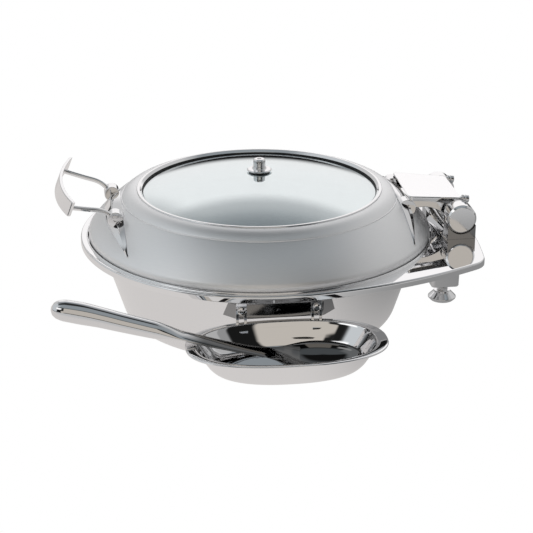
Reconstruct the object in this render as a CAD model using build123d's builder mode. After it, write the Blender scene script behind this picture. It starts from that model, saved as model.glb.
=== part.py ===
from build123d import *
from math import cos, pi, radians, sin, sqrt, tan
import os

os.makedirs("parts", exist_ok=True)

# Round chafing tureen. The origin is the centre of the bowl's base on the table.
# +Y points to the hinge, -Y to the lid handle, +X to the spoon dish.

# Heights
plate_top = 112.0
ledge_top = 105.0
skirt_bottom = 104.5
lid_bottom = 109.5
ring_top = 171.5

# Frame and bowl
rim_radius = 230.0
frame_rear = 273.0
frame_sheet = 1.5
opening_radius = 221.0
pan_opening_radius = 200.0
lip_height = 1.3
bowl_sheet = 1.2
bowl_base_radius = 172.8
bowl_top_radius = 205.1
bowl_flange_radius = 213.0
base_ring_inner = 118.0
base_recess = 5.0

# Lid and window
lid_radius = 219.5
lid_sheet = 1.5
ring_inner = 151.0
ring_outer = 157.0
glass_radius = 149.5
glass_edge_top = 166.0
glass_apex = 190.5
glass_thickness = 4.0

# Hinge
hinge_y = 250.0
hinge_z = 137.5
axle_radius = 6.0
running_gap = 0.05
arm_inner_x = 36.0
arm_thickness = 5.0
cap_inner_x = 48.0
cap_outer_x = 72.0
cap_radius = 19.0
pedestal_depth = 36.0

# Straps and bosses that carry the handle and the hinge
handle_boss_radius = 9.8
hinge_boss_radius = 11.5
boss_half_width = 9.0
strap_height = 4.0
strap_half_length = 120.0
strap_half_width = 10.0
handle_boss = (50.0, -187.0, 153.5)
hinge_boss = (45.0, 182.5, 149.5)
hinge_strap_y = 180.5

# Handle
rod_radius = 3.0
bar_height = 19.0
bar_thickness = 4.0
bar_half_length = 90.0
bar_centre_y = -255.0
bar_end_y = -240.4
bar_centre_z = 181.5
bar_tilt = 21.5

# Spoon dish
dish_x = 269.5
dish_y = -3.0
dish_half_x = 64.5
dish_half_y = 115.5
dish_rim_z = 70.6
dish_floor_z = 37.5
dish_sheet = 1.2
dish_bead = 2.0
dish_rim_sheet = 2.4
hook_spread = 45.0
hook_pin_z = 86.0
hook_pin_radius = 3.0
hook_sheet = 2.0

# Support post and foot
post_y = 246.0
post_side = 37.0
post_bottom = 24.0
stem_radius = 5.0

# Food pan
pan_rim_radius = 206.0
pan_wall_radius = 198.5
pan_floor_radius = 168.0
pan_floor_z = 42.0
pan_sheet = 1.0

HINGE_LINE = Plane(origin=(0, hinge_y, hinge_z), x_dir=(0, 1, 0), z_dir=(1, 0, 0))
UPRIGHT = (Align.CENTER, Align.CENTER, Align.MIN)


def save(builder, label):
    """Name a finished piece and write it."""
    builder.part.label = label
    export_step(builder.part, f"parts/{label}.step")


def across(x):
    """Plane at distance x from the middle, facing +X, its own x along +Y and y along +Z."""
    return Plane(origin=(x, 0, 0), x_dir=(0, 1, 0), z_dir=(1, 0, 0))


def oval(half_x, half_y, z, centre=(dish_x, dish_y), fullness=2.4, count=32):
    """Closed oval between an ellipse and a rectangle, at height z."""
    points = []
    for step in range(count):
        angle = 2 * pi * step / count
        c, s = cos(angle), sin(angle)
        x = half_x * (1 if c >= 0 else -1) * abs(c) ** (2 / fullness)
        y = half_y * (1 if s >= 0 else -1) * abs(s) ** (2 / fullness)
        points.append((centre[0] + x, centre[1] + y))
    with BuildSketch(Plane.XY.offset(z)) as shape:
        with BuildLine():
            Spline(*points, periodic=True)
        make_face()
    return shape.sketch


def frame_outline(inset=0.0):
    """Plan of the frame: a circle in front that runs on to a blunt rear end."""
    join = (rim_radius * cos(radians(5)), rim_radius * sin(radians(5)))
    with BuildSketch() as plan:
        with BuildLine():
            CenterArc((0, 0), rim_radius, -90, 95)
            side = TangentArc(join, (149, 262), tangent=(-sin(radians(5)), cos(radians(5))))
            ThreePointArc(side @ 1, (76, frame_rear - 3), (0, frame_rear))
            mirror(about=Plane.YZ)
        make_face()
        corners = plan.vertices().filter_by_position(Axis.Y, 255, 268)
        fillet(corners, 30)
        if inset:
            offset(amount=-inset, mode=Mode.REPLACE)
    return plan.sketch


def lid_solid(grow=0.0):
    """Everything under the lid's outer surface, grown outwards along its normals."""
    g = grow
    with BuildPart() as body:
        with BuildSketch(Plane.XZ):
            with BuildLine():
                foot = Polyline((157, 100), (lid_radius + g, 100), (lid_radius + g, 119.5))
                ThreePointArc(
                    foot @ 1,
                    (199.5 + 0.67 * g, 141.6 + 0.74 * g),
                    (176.5 + 0.64 * g, 160.3 + 0.77 * g),
                )
                crown = ThreePointArc(
                    (176.5 + 0.64 * g, 160.3 + 0.77 * g),
                    (167.5 + 0.45 * g, 167.0 + 0.89 * g),
                    (157, 170 + g),
                )
                Line(crown @ 1, foot @ 0)
            make_face()
        revolve(axis=Axis.Z)
    return body.part


def glass_section():
    """Half section of the domed window."""
    rise = glass_apex - glass_edge_top
    radius = (glass_radius**2 + rise**2) / (2 * rise)
    half_way = glass_radius / 2
    drop = radius - sqrt(radius**2 - half_way**2)
    low = -glass_thickness
    with BuildSketch(Plane.XZ) as section:
        with BuildLine():
            top = ThreePointArc(
                (0, glass_apex), (half_way, glass_apex - drop), (glass_radius, glass_edge_top)
            )
            under = ThreePointArc(
                (0, glass_apex + low),
                (half_way, glass_apex - drop + low),
                (glass_radius, glass_edge_top + low),
            )
            Line(top @ 0, under @ 0)
            Line(top @ 1, under @ 1)
        make_face()
    return section.sketch


def boss_pair(position, radius):
    """Two short cylinders along X, one on each side of the middle."""
    x, y, z = position
    with BuildPart() as pair:
        for side in (-1, 1):
            with BuildSketch(across(side * x)):
                with Locations((y, z)):
                    Circle(radius)
            extrude(amount=boss_half_width, both=True)
    return pair.part


def strap(y_middle, y_tip):
    """Leaf-ended strap that hugs the lid from one side to the other."""
    end = strap_half_length
    w = strap_half_width
    with BuildPart() as leaf:
        with BuildSketch(Plane.XY.offset(lid_bottom + 5)):
            with BuildLine():
                outer = Spline(
                    (-end, y_tip), (-50, y_middle - w), (0, y_middle - w), (50, y_middle - w), (end, y_tip)
                )
                Spline(
                    outer @ 0, (-50, y_middle + w), (0, y_middle + 0.6 * w), (50, y_middle + w), outer @ 1
                )
            make_face()
        extrude(amount=70)
        add(lid_solid(strap_height), mode=Mode.INTERSECT)
        add(lid_solid(), mode=Mode.SUBTRACT)
    return leaf.part


# ------------------------------------------------------------------ base

with BuildPart() as outer_bowl:
    with BuildSketch(Plane.XZ):
        with BuildLine() as wall:
            Polyline(
                (0, base_recess),
                (base_ring_inner - 4, base_recess),
                (base_ring_inner, 0),
                (bowl_base_radius, 0),
                (bowl_top_radius, ledge_top - frame_sheet - bowl_sheet),
                (bowl_flange_radius, ledge_top - frame_sheet - bowl_sheet),
            )
            corner = wall.vertices().sort_by(Axis.X)[3]
            fillet(corner, 22)
            offset(amount=bowl_sheet, side=Side.LEFT)
        make_face()
    revolve(axis=Axis.Z)
save(outer_bowl, "outer_bowl")

with BuildPart() as induction_disc:
    Cylinder(base_ring_inner - 8, base_recess, align=UPRIGHT)
    fillet(induction_disc.faces().sort_by(Axis.Z)[0].edges(), 1.5)
save(induction_disc, "induction_disc")

with BuildPart() as hinge_base_screws:
    for x, y in ((cap_inner_x + 6, hinge_y - 10), (cap_outer_x - 6, hinge_y + 10)):
        with Locations((x, y, plate_top - frame_sheet - 3), (-x, y, plate_top - frame_sheet - 3)):
            Cylinder(4, 3, align=UPRIGHT)
            Cylinder(2, 2 + frame_sheet + 6, align=UPRIGHT)
save(hinge_base_screws, "hinge_base_screws")

with BuildPart() as rim_frame:
    with BuildSketch(Plane.XY.offset(skirt_bottom)):
        add(frame_outline())
    extrude(amount=plate_top - skirt_bottom)
    fillet(rim_frame.faces().sort_by(Axis.Z)[-1].edges(), 2.8)
    with BuildSketch(Plane.XY.offset(skirt_bottom)):
        add(frame_outline(frame_sheet))
    extrude(amount=plate_top - frame_sheet - skirt_bottom, mode=Mode.SUBTRACT)
    with BuildSketch(Plane.XY.offset(skirt_bottom)):
        Circle(opening_radius)
    extrude(amount=20, mode=Mode.SUBTRACT)
    with BuildSketch(Plane.XY.offset(ledge_top - frame_sheet)):
        Circle(opening_radius + frame_sheet)
        Circle(pan_opening_radius, mode=Mode.SUBTRACT)
    extrude(amount=frame_sheet)
    with BuildSketch(Plane.XY.offset(ledge_top - frame_sheet)):
        Circle(opening_radius + frame_sheet)
        Circle(opening_radius, mode=Mode.SUBTRACT)
    extrude(amount=plate_top + lip_height - ledge_top + frame_sheet)
    fillet(rim_frame.faces().sort_by(Axis.Z)[-1].edges(), 0.6)
    add(hinge_base_screws.part, mode=Mode.SUBTRACT)
save(rim_frame, "rim_frame")

with BuildPart(Plane.XY.offset(ledge_top)) as lid_bumpers:
    with PolarLocations(lid_radius - 1.2, 6):
        Box(3, 12, lid_bottom - ledge_top - 0.1, align=UPRIGHT)
    fillet(lid_bumpers.edges().filter_by(Axis.Z), 0.8)
save(lid_bumpers, "lid_bumpers")

with BuildPart() as support_post:
    with BuildSketch(Plane.XY.offset(post_bottom)):
        with Locations((0, post_y)):
            RectangleRounded(post_side, post_side, 5)
    extrude(amount=plate_top - frame_sheet - post_bottom, taper=-1.2)
    with BuildSketch(Plane.XY.offset(post_bottom + 22)):
        with Locations((0, post_y)):
            Rectangle(post_side - 4, post_side - 4)
    extrude(amount=90, mode=Mode.SUBTRACT)
    with Locations((0, post_y, post_bottom)):
        Cylinder(stem_radius + running_gap, 30, align=UPRIGHT, mode=Mode.SUBTRACT)
    chamfer(support_post.faces().sort_by(Axis.Z)[0].outer_wire().edges(), 0.8)
save(support_post, "support_post")

with BuildPart() as foot_stem:
    with Locations((0, post_y, 9)):
        Cylinder(stem_radius, 36, align=UPRIGHT)
    with BuildSketch(Plane.XY.offset(14)):
        with Locations((0, post_y)):
            RegularPolygon(7.5, 6)
    extrude(amount=4)
    chamfer(foot_stem.faces().sort_by(Axis.Z)[-1].edges(), 0.8)
save(foot_stem, "foot_stem")

foot_profile = [(0, 0), (15, 0), (18.5, 4), (18.5, 6), (11.6, 13.95), (0, 13.95)]
with BuildPart() as foot_pad:
    with BuildSketch(Plane(origin=(0, post_y, 0), x_dir=(1, 0, 0), z_dir=(0, -1, 0))):
        with BuildLine() as pad_edge:
            Polyline(*foot_profile, close=True)
            fillet(pad_edge.vertices().sort_by(Axis.X)[-2:], 1.5)
        make_face()
    revolve(axis=Axis((0, post_y, 0), (0, 0, 1)))
    with Locations((0, post_y, 9 - running_gap)):
        Cylinder(stem_radius + running_gap, 10, align=UPRIGHT, mode=Mode.SUBTRACT)
save(foot_pad, "foot_pad")

# ------------------------------------------------------------------ hinge, fixed side

with BuildPart() as hinge_pedestals:
    for side in (-1, 1):
        with BuildSketch(Plane.XY.offset(plate_top)):
            with Locations((side * (cap_inner_x + cap_outer_x) / 2, hinge_y)):
                RectangleRounded(cap_outer_x - cap_inner_x, pedestal_depth, 2)
        extrude(amount=18)
    with BuildSketch(HINGE_LINE):
        Circle(cap_radius)
    extrude(amount=90, both=True, mode=Mode.SUBTRACT)
    add(hinge_base_screws.part, mode=Mode.SUBTRACT)
save(hinge_pedestals, "hinge_pedestals")

with BuildPart() as hinge_axle:
    with BuildSketch(HINGE_LINE):
        Circle(axle_radius)
    extrude(amount=cap_outer_x - 6, both=True)
    chamfer(hinge_axle.edges().filter_by(GeomType.CIRCLE), 0.6)
save(hinge_axle, "hinge_axle")

with BuildPart() as hinge_end_caps:
    for side in (-1, 1):
        with BuildSketch(HINGE_LINE.offset(side * cap_inner_x)):
            Circle(cap_radius)
        extrude(amount=side * (cap_outer_x - cap_inner_x))
    outer_edges = hinge_end_caps.edges().filter_by(GeomType.CIRCLE).group_by(Axis.X)
    chamfer(outer_edges[0] + outer_edges[-1], 2.6)
    add(hinge_axle.part, mode=Mode.SUBTRACT)
save(hinge_end_caps, "hinge_end_caps")

# start along the axle, radius and length of each step of a collar
collar_start = arm_inner_x + arm_thickness + 0.15
collar_steps = ((collar_start, 13.0, 3.0), (collar_start + 3, 14.0, cap_inner_x - collar_start - 3))
with BuildPart() as hinge_collars:
    for side in (-1, 1):
        for start, radius, length in collar_steps:
            with BuildSketch(HINGE_LINE.offset(side * start)):
                Circle(radius)
                Circle(axle_radius, mode=Mode.SUBTRACT)
            extrude(amount=side * length)
save(hinge_collars, "hinge_collars")

spring_mean_radius = 9.6
spring_wire = 1.5
spring_pitch = 3.5
spring_turns = 7
with BuildPart() as torsion_springs:
    for side in (-1, 1):
        with BuildLine() as coil:
            Helix(
                spring_pitch,
                spring_pitch * spring_turns,
                spring_mean_radius,
                center=(side * 7, hinge_y, hinge_z),
                direction=(side, 0, 0),
            )
        with BuildSketch(Plane(origin=coil.line @ 0, z_dir=coil.line % 0)):
            Circle(spring_wire)
        sweep(path=coil.line, is_frenet=True)
save(torsion_springs, "torsion_springs")

anchor_foot = (hinge_y - 12, plate_top)
with BuildPart() as spring_anchor:
    with BuildSketch(across(0)):
        with BuildLine() as bend:
            Polyline((218, 131), (anchor_foot[0] - 1.5, plate_top), (hinge_y + 12, plate_top))
            fillet(bend.vertices().sort_by(Axis.X)[1], 4)
            offset(amount=2, side=Side.LEFT)
        make_face()
    extrude(amount=32, both=True)
    slope = Plane(origin=(0, 226.5, 123.5), x_dir=(1, 0, 0), z_dir=(0, 19, 18.5))
    with BuildSketch(slope):
        with Locations((-19, 0), (19, 0)):
            SlotOverall(15, 6)
    extrude(amount=8, both=True, mode=Mode.SUBTRACT)
save(spring_anchor, "spring_anchor")

with BuildPart() as spring_rod:
    with BuildSketch(Plane(origin=(0, 236.5, 120.5), x_dir=(0, 1, 0), z_dir=(1, 0, 0))):
        Circle(2.2)
    extrude(amount=cap_inner_x, both=True)
save(spring_rod, "spring_rod")

# ------------------------------------------------------------------ lid

with BuildPart() as lid_shell:
    add(lid_solid())
    add(lid_solid(-lid_sheet), mode=Mode.SUBTRACT)
    with BuildSketch(Plane.XY.offset(90)):
        Circle(240)
    extrude(amount=lid_bottom - 90, mode=Mode.SUBTRACT)
    with BuildSketch(Plane.XY.offset(90)):
        Circle(ring_outer)
    extrude(amount=100, mode=Mode.SUBTRACT)
save(lid_shell, "lid_shell")

with BuildPart() as lid_glass:
    with BuildSketch(Plane.XZ):
        add(glass_section())
    revolve(axis=Axis.Z)
    with Locations((0, 0, glass_apex)):
        Cylinder(stem_radius + 1, 20, mode=Mode.SUBTRACT)
save(lid_glass, "lid_glass")

seal_bottom = glass_edge_top - glass_thickness - 2
seal_inner = 147.6
with BuildPart() as glass_seal:
    with BuildSketch(Plane.XZ):
        with BuildLine():
            Polyline(
                (seal_inner, seal_bottom), (ring_inner, seal_bottom), (ring_inner, ring_top - 2),
                (149.9, ring_top - 2), (seal_inner, glass_edge_top + 2.4), close=True
            )
        make_face()
        add(glass_section(), mode=Mode.SUBTRACT)
    revolve(axis=Axis.Z)
save(glass_seal, "glass_seal")

with BuildPart() as window_ring:
    with BuildSketch(Plane.XZ):
        with BuildLine() as ring_edge:
            Polyline(
                (ring_inner, seal_bottom), (ring_inner, ring_top), (ring_outer, ring_top),
                (ring_outer, seal_bottom), (ring_outer, seal_bottom - 1.5), (145, seal_bottom - 1.5),
                (145, seal_bottom), close=True
            )
            fillet(ring_edge.vertices().group_by(Axis.Y)[-1], 2.6)
        make_face()
    revolve(axis=Axis.Z)
save(window_ring, "window_ring")

with BuildPart() as vent_seal:
    with BuildSketch(Plane.XY.offset(glass_apex - 0.6)):
        Circle(13.5)
        Circle(stem_radius, mode=Mode.SUBTRACT)
    extrude(amount=1.8)
    with BuildSketch(Plane.XZ):
        add(glass_section())
    revolve(axis=Axis.Z, mode=Mode.SUBTRACT)
save(vent_seal, "vent_seal")

flange_base = glass_apex + 1.2
collar_top = flange_base + 5.8
with BuildPart() as vent_flange:
    with BuildSketch(Plane.XZ):
        with BuildLine():
            Polyline(
                (stem_radius, flange_base), (15, flange_base), (16, flange_base + 0.8),
                (14.5, flange_base + 2), (9, flange_base + 2.8), (8.4, collar_top),
                (stem_radius, collar_top), close=True
            )
        make_face()
    revolve(axis=Axis.Z)
save(vent_flange, "vent_flange")

with BuildPart() as vent_stem:
    with BuildSketch(Plane.XY.offset(glass_apex - 16)):
        Circle(stem_radius)
    extrude(amount=collar_top + 6 - glass_apex + 16)
    with BuildSketch(Plane.XY.offset(glass_apex - 16)):
        Circle(1.5)
    extrude(amount=60, mode=Mode.SUBTRACT)
    chamfer(vent_stem.faces().sort_by(Axis.Z)[0].outer_wire().edges(), 0.6)
save(vent_stem, "vent_stem")

with BuildPart() as vent_nut:
    with BuildSketch(Plane.XY.offset(glass_apex - glass_thickness - 7)):
        RegularPolygon(10, 6)
        Circle(stem_radius, mode=Mode.SUBTRACT)
    extrude(amount=6.6)
save(vent_nut, "vent_nut")

with BuildPart() as vent_cap:
    with BuildSketch(Plane.XY.offset(collar_top + 0.1)):
        Circle(7.8)
    extrude(amount=207 - collar_top - 0.1)
    chamfer(vent_cap.faces().sort_by(Axis.Z)[-1].edges(), 1.2)
    fillet(vent_cap.faces().sort_by(Axis.Z)[0].edges(), 0.6)
    with BuildSketch(Plane.XY.offset(collar_top)):
        Circle(stem_radius + running_gap)
    extrude(amount=6 + running_gap, mode=Mode.SUBTRACT)
    with Locations((0, 0, 203.6)):
        Cylinder(1.8, 30, rotation=(0, 90, 0), mode=Mode.SUBTRACT)
save(vent_cap, "vent_cap")

# ------------------------------------------------------------------ lid straps, handle and hinge arms

with BuildPart() as handle_bosses:
    add(boss_pair(handle_boss, handle_boss_radius))
    add(lid_solid(strap_height), mode=Mode.SUBTRACT)
save(handle_bosses, "handle_bosses")

with BuildPart() as handle_strap:
    add(strap(handle_boss[1], -176))
save(handle_strap, "handle_strap")

with BuildPart() as hinge_bosses:
    add(boss_pair(hinge_boss, hinge_boss_radius))
    add(lid_solid(strap_height), mode=Mode.SUBTRACT)
save(hinge_bosses, "hinge_bosses")

with BuildPart() as hinge_strap:
    add(mirror(strap(-hinge_strap_y, -176), about=Plane.XZ))
save(hinge_strap, "hinge_strap")

with BuildPart() as boss_screws:
    for x, y, z in (handle_boss, hinge_boss):
        for side in (-1, 1):
            with BuildSketch(across(side * (x + boss_half_width))):
                with Locations((y, z)):
                    Circle(5)
                    RegularPolygon(2.6, 6, mode=Mode.SUBTRACT)
            extrude(amount=side * 1.2)
    add(lid_solid(strap_height), mode=Mode.SUBTRACT)
save(boss_screws, "boss_screws")

bar_sag = bar_end_y - bar_centre_y
bar_radius = (bar_half_length**2 + bar_sag**2) / (2 * bar_sag)
bar_up = Vector(0, sin(radians(bar_tilt)), cos(radians(bar_tilt)))
bar_bottom = Plane(Vector(0, bar_centre_y, bar_centre_z) - bar_up * (bar_height / 2))
with BuildPart() as handle_bar:
    with BuildSketch(bar_bottom):
        with BuildLine():
            ThreePointArc((-bar_half_length, bar_sag), (0, 0), (bar_half_length, bar_sag))
            offset(amount=bar_thickness / 2)
        make_face()
    extrude(amount=bar_height, dir=bar_up)
    fillet(handle_bar.faces().sort_by(Axis.Z)[-1].edges(), 1.2)
save(handle_bar, "handle_bar")

with BuildPart() as handle_rods:
    for side in (-1, 1):
        with BuildLine() as run:
            Polyline((side * 52, -190, 154), (side * 56, -199, 165), (side * 71, -247, 178))
            fillet(run.vertices().sort_by(Axis.Y)[1], 8)
        with BuildSketch(Plane(origin=run.line @ 0, z_dir=run.line % 0)):
            Circle(rod_radius)
        sweep(path=run.line)
    with BuildSketch(bar_bottom):
        with Locations((0, bar_radius)):
            Circle(bar_radius + 20)
            Circle(bar_radius - bar_thickness / 2, mode=Mode.SUBTRACT)
    extrude(amount=bar_height, dir=bar_up, mode=Mode.SUBTRACT)
    add(handle_bosses.part, mode=Mode.SUBTRACT)
    add(lid_solid(strap_height), mode=Mode.SUBTRACT)
save(handle_rods, "handle_rods")

with BuildPart() as hinge_arms:
    for side in (-1, 1):
        with BuildSketch(across(side * arm_inner_x)):
            with BuildLine():
                top = Spline((187, 160.4), (208, 157), (236, 151), (hinge_y, 149.8))
                bow = ThreePointArc(top @ 1, (262.3, hinge_z), (hinge_y, 125.2))
                Line(bow @ 1, (241, 126.5))
                rise = Spline((241, 126.5), (229, 139), (212, 146), (198, 146))
                Line(rise @ 1, (187, 148))
                Line((187, 148), top @ 0)
            make_face()
            with Locations((hinge_y, hinge_z)):
                Circle(axle_radius + running_gap, mode=Mode.SUBTRACT)
        extrude(amount=side * arm_thickness)
    add(boss_pair(hinge_boss, hinge_boss_radius), mode=Mode.SUBTRACT)
    add(lid_solid(strap_height + 0.2), mode=Mode.SUBTRACT)
save(hinge_arms, "hinge_arms")

with BuildPart() as cross_rods:
    for y, z in ((229, 147), (213, 151)):
        with BuildSketch(across(0)):
            with Locations((y, z)):
                Circle(2.4)
        extrude(amount=arm_inner_x, both=True)
save(cross_rods, "cross_rods")

plate_front = Vector(0, 185, 165)
plate_rear = Vector(0, 254.5, 158)
plate_run = plate_rear - plate_front
plate_up = Vector(0, -plate_run.Z, plate_run.Y).normalized()
plate_length = plate_run.length
front_half, rear_half = 51.0, 43.5
plate_sheet = 1.6
skirt_length = 0.6 * plate_length
with BuildPart() as cover_plate:
    plate_plane = Plane(origin=plate_front, x_dir=(1, 0, 0), z_dir=plate_up)
    with BuildSketch(plate_plane) as plate_plan:
        with BuildLine():
            Polyline(
                (-front_half, 0), (front_half, 0), (rear_half, plate_length), (-rear_half, plate_length),
                close=True
            )
        make_face()
        fillet(plate_plan.vertices(), 3)
    extrude(amount=-plate_sheet)
    for side in (-1, 1):
        narrowing = (front_half - rear_half) * skirt_length / plate_length
        with BuildSketch(plate_plane):
            with BuildLine():
                Polyline(
                    (side * front_half, 3), (side * (front_half - narrowing), skirt_length),
                    (side * (front_half - narrowing - plate_sheet), skirt_length),
                    (side * (front_half - plate_sheet), 3), close=True
                )
            make_face()
        extrude(amount=-6)
        with BuildSketch(across(side * 37)):
            with BuildLine():
                Polyline((244, 159), (254.4, 158), (254.4, 153.4), (244, 153.4), close=True)
            make_face()
        extrude(amount=side * 6.4)
    add(boss_pair(hinge_boss, hinge_boss_radius), mode=Mode.SUBTRACT)
save(cover_plate, "cover_plate")

with BuildPart() as stop_bolts:
    for side in (-1, 1):
        with BuildSketch(Plane(origin=(side * 40.2, 254.4, 155.8), z_dir=(0, 1, -0.12))):
            Circle(2.2)
        extrude(amount=2.5)
        with BuildSketch(Plane(origin=(side * 40.2, 256.4, 155.6), z_dir=(0, 1, -0.12))):
            Circle(5)
        extrude(amount=9)
    chamfer(stop_bolts.faces().sort_by(Axis.Y)[-2:].edges(), 1)
    add(cover_plate.part, mode=Mode.SUBTRACT)
save(stop_bolts, "stop_bolts")

# ------------------------------------------------------------------ food pan

with BuildPart() as food_pan:
    with BuildSketch(Plane.XZ):
        with BuildLine() as section:
            Polyline(
                (0, pan_floor_z), (pan_floor_radius, pan_floor_z), (pan_wall_radius, ledge_top),
                (pan_rim_radius, ledge_top)
            )
            fillet(section.vertices().sort_by(Axis.X)[1], 22)
            offset(amount=pan_sheet, side=Side.LEFT)
        make_face()
    revolve(axis=Axis.Z)
save(food_pan, "food_pan")

# ------------------------------------------------------------------ spoon dish

# share of the rim's half length along X and Y, and height, of each level of the wall
dish_levels = (
    (0.66, 0.60, dish_floor_z), (0.78, 0.73, 42), (0.86, 0.82, 54), (0.94, 0.91, dish_rim_z)
)


def dish_solid(shrink=0.0):
    """The dish filled in, with its outer surface moved inwards by shrink."""
    with BuildPart() as filled:
        for x_part, y_part, z in dish_levels:
            level = z + shrink if z == dish_floor_z else z
            add(oval(dish_half_x * x_part - shrink, dish_half_y * y_part - shrink, level))
        loft()
    return filled.part


with BuildPart() as spoon_dish:
    add(dish_solid())
    add(dish_solid(dish_sheet), mode=Mode.SUBTRACT)
    x_part, y_part, z = dish_levels[-1]
    with BuildSketch(Plane.XY.offset(z - dish_rim_sheet / 2)):
        add(oval(dish_half_x + dish_bead, dish_half_y + dish_bead, 0))
        inner = (dish_half_x * x_part - dish_sheet, dish_half_y * y_part - dish_sheet)
        add(oval(*inner, 0), mode=Mode.SUBTRACT)
    extrude(amount=dish_rim_sheet)
    fillet(spoon_dish.faces().sort_by(Axis.Z)[-1].edges(), 0.9)
save(spoon_dish, "spoon_dish")

# ------------------------------------------------------------------ dish bracket and hooks

wall_slope = (bowl_top_radius - bowl_base_radius) / (ledge_top - frame_sheet - bowl_sheet)
bracket_low, bracket_high, bracket_sheet = 73.0, 92.0, 1.2
bracket_lean = 7.0
bracket_foot_x = 200.6
bracket_half, wing_x, wing_half = 51.0, 180.0, 70.0


def bracket_x(z):
    """Distance out from the middle, at height z, of the front of the bracket's leaning plate."""
    return bracket_foot_x + bracket_sheet / 2 + (z - bracket_low) * tan(radians(bracket_lean))


with BuildPart() as bowl_core:
    with BuildSketch(Plane.XZ):
        with BuildLine():
            Polyline(
                (0, 0), (bowl_base_radius, 0),
                (bowl_base_radius + wall_slope * ledge_top, ledge_top), (0, ledge_top), close=True
            )
        make_face()
    revolve(axis=Axis.Z)

with BuildPart() as dish_bracket:
    with BuildSketch(Plane.XY.offset(bracket_low)):
        with Locations((0, dish_y)):
            with BuildLine() as bracket_plan:
                Polyline(
                    (wing_x, -wing_half), (bracket_foot_x, -bracket_half),
                    (bracket_foot_x, bracket_half), (wing_x, wing_half)
                )
                fillet(bracket_plan.vertices().group_by(Axis.X)[-1], 4)
                offset(amount=bracket_sheet / 2)
            make_face()
    rise = Vector(sin(radians(bracket_lean)), 0, cos(radians(bracket_lean)))
    extrude(amount=(bracket_high - bracket_low) / rise.Z, dir=rise)
    add(bowl_core.part, mode=Mode.SUBTRACT)
save(dish_bracket, "dish_bracket")

hook_inner_x = bracket_x(bracket_high) + 0.6
hook_front_x = hook_inner_x + hook_sheet
with BuildPart() as bracket_studs:
    for side in (-1, 1):
        place = (dish_y + side * hook_spread, hook_pin_z)
        for start, end, radius in (
            (bracket_x(hook_pin_z) - 0.4, hook_front_x + 0.3, hook_pin_radius),
            (hook_front_x + 0.3, hook_front_x + 2.8, 5),
        ):
            with BuildSketch(across(start)):
                with Locations(place):
                    Circle(radius)
            extrude(amount=end - start)
    add(dish_bracket.part, mode=Mode.SUBTRACT)
save(bracket_studs, "bracket_studs")

with BuildPart() as bracket_screw:
    screw_z = (bracket_low + bracket_high) / 2
    with BuildSketch(Plane(origin=(bracket_x(screw_z), dish_y, screw_z), z_dir=(rise.Z, 0, -rise.X))):
        Circle(2.4)
    extrude(amount=0.8, taper=20)
save(bracket_screw, "bracket_screw")

with BuildPart() as dish_hooks:
    for side in (-1, 1):
        y = dish_y + side * hook_spread
        with BuildSketch(across(hook_inner_x)):
            with Locations((y, 79)):
                RectangleRounded(13, 34, 3)
            with Locations((y, hook_pin_z)):
                Circle(hook_pin_radius + running_gap, mode=Mode.SUBTRACT)
            with Locations((y, hook_pin_z - 7)):
                Rectangle(2 * (hook_pin_radius + running_gap), 14, mode=Mode.SUBTRACT)
        extrude(amount=hook_sheet)
        with Locations((hook_inner_x, y, 62)):
            Box(16, 13, hook_sheet, align=(Align.MIN, Align.CENTER, Align.MIN))
    add(dish_solid(), mode=Mode.SUBTRACT)
    add(spoon_dish.part, mode=Mode.SUBTRACT)
save(dish_hooks, "dish_hooks")

# ------------------------------------------------------------------ spoon

bowl_length, bowl_half_width, bowl_depth, spoon_sheet = 96.0, 31.0, 17.0, 1.4
swell = (bowl_half_width**2 + bowl_depth**2) / (2 * bowl_depth)
axis_height = swell - bowl_depth
spoon_x, spoon_y, spoon_z = 279.5, 35.0, 56.8
spoon_skew = 0.16
spoon_roll = 10.0
spoon_rim = Plane(
    origin=(spoon_x, spoon_y, spoon_z), x_dir=(spoon_skew, 1, -0.02),
    z_dir=(tan(radians(spoon_roll)), 0.02 - spoon_skew * tan(radians(spoon_roll)), 1),
)


def spindle(shrink=0.0):
    """Solid of revolution whose underside is the spoon's bowl."""
    half = bowl_length / 2
    with BuildPart() as body:
        with BuildSketch(spoon_rim.offset(axis_height)):
            with BuildLine():
                end_height = -axis_height + 0.3 * shrink
                edge = ThreePointArc((-half, end_height), (0, -swell + shrink), (half, end_height))
                Polyline(edge @ 0, (-half, 0), (half, 0), edge @ 1)
            make_face()
        line = spoon_rim.offset(axis_height)
        revolve(axis=Axis(line.origin, line.x_dir))
    return body.part


with BuildPart() as spoon_bowl:
    add(spindle())
    add(spindle(spoon_sheet), mode=Mode.SUBTRACT)
    split(bisect_by=spoon_rim, keep=Keep.BOTTOM)
save(spoon_bowl, "spoon_bowl")

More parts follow.
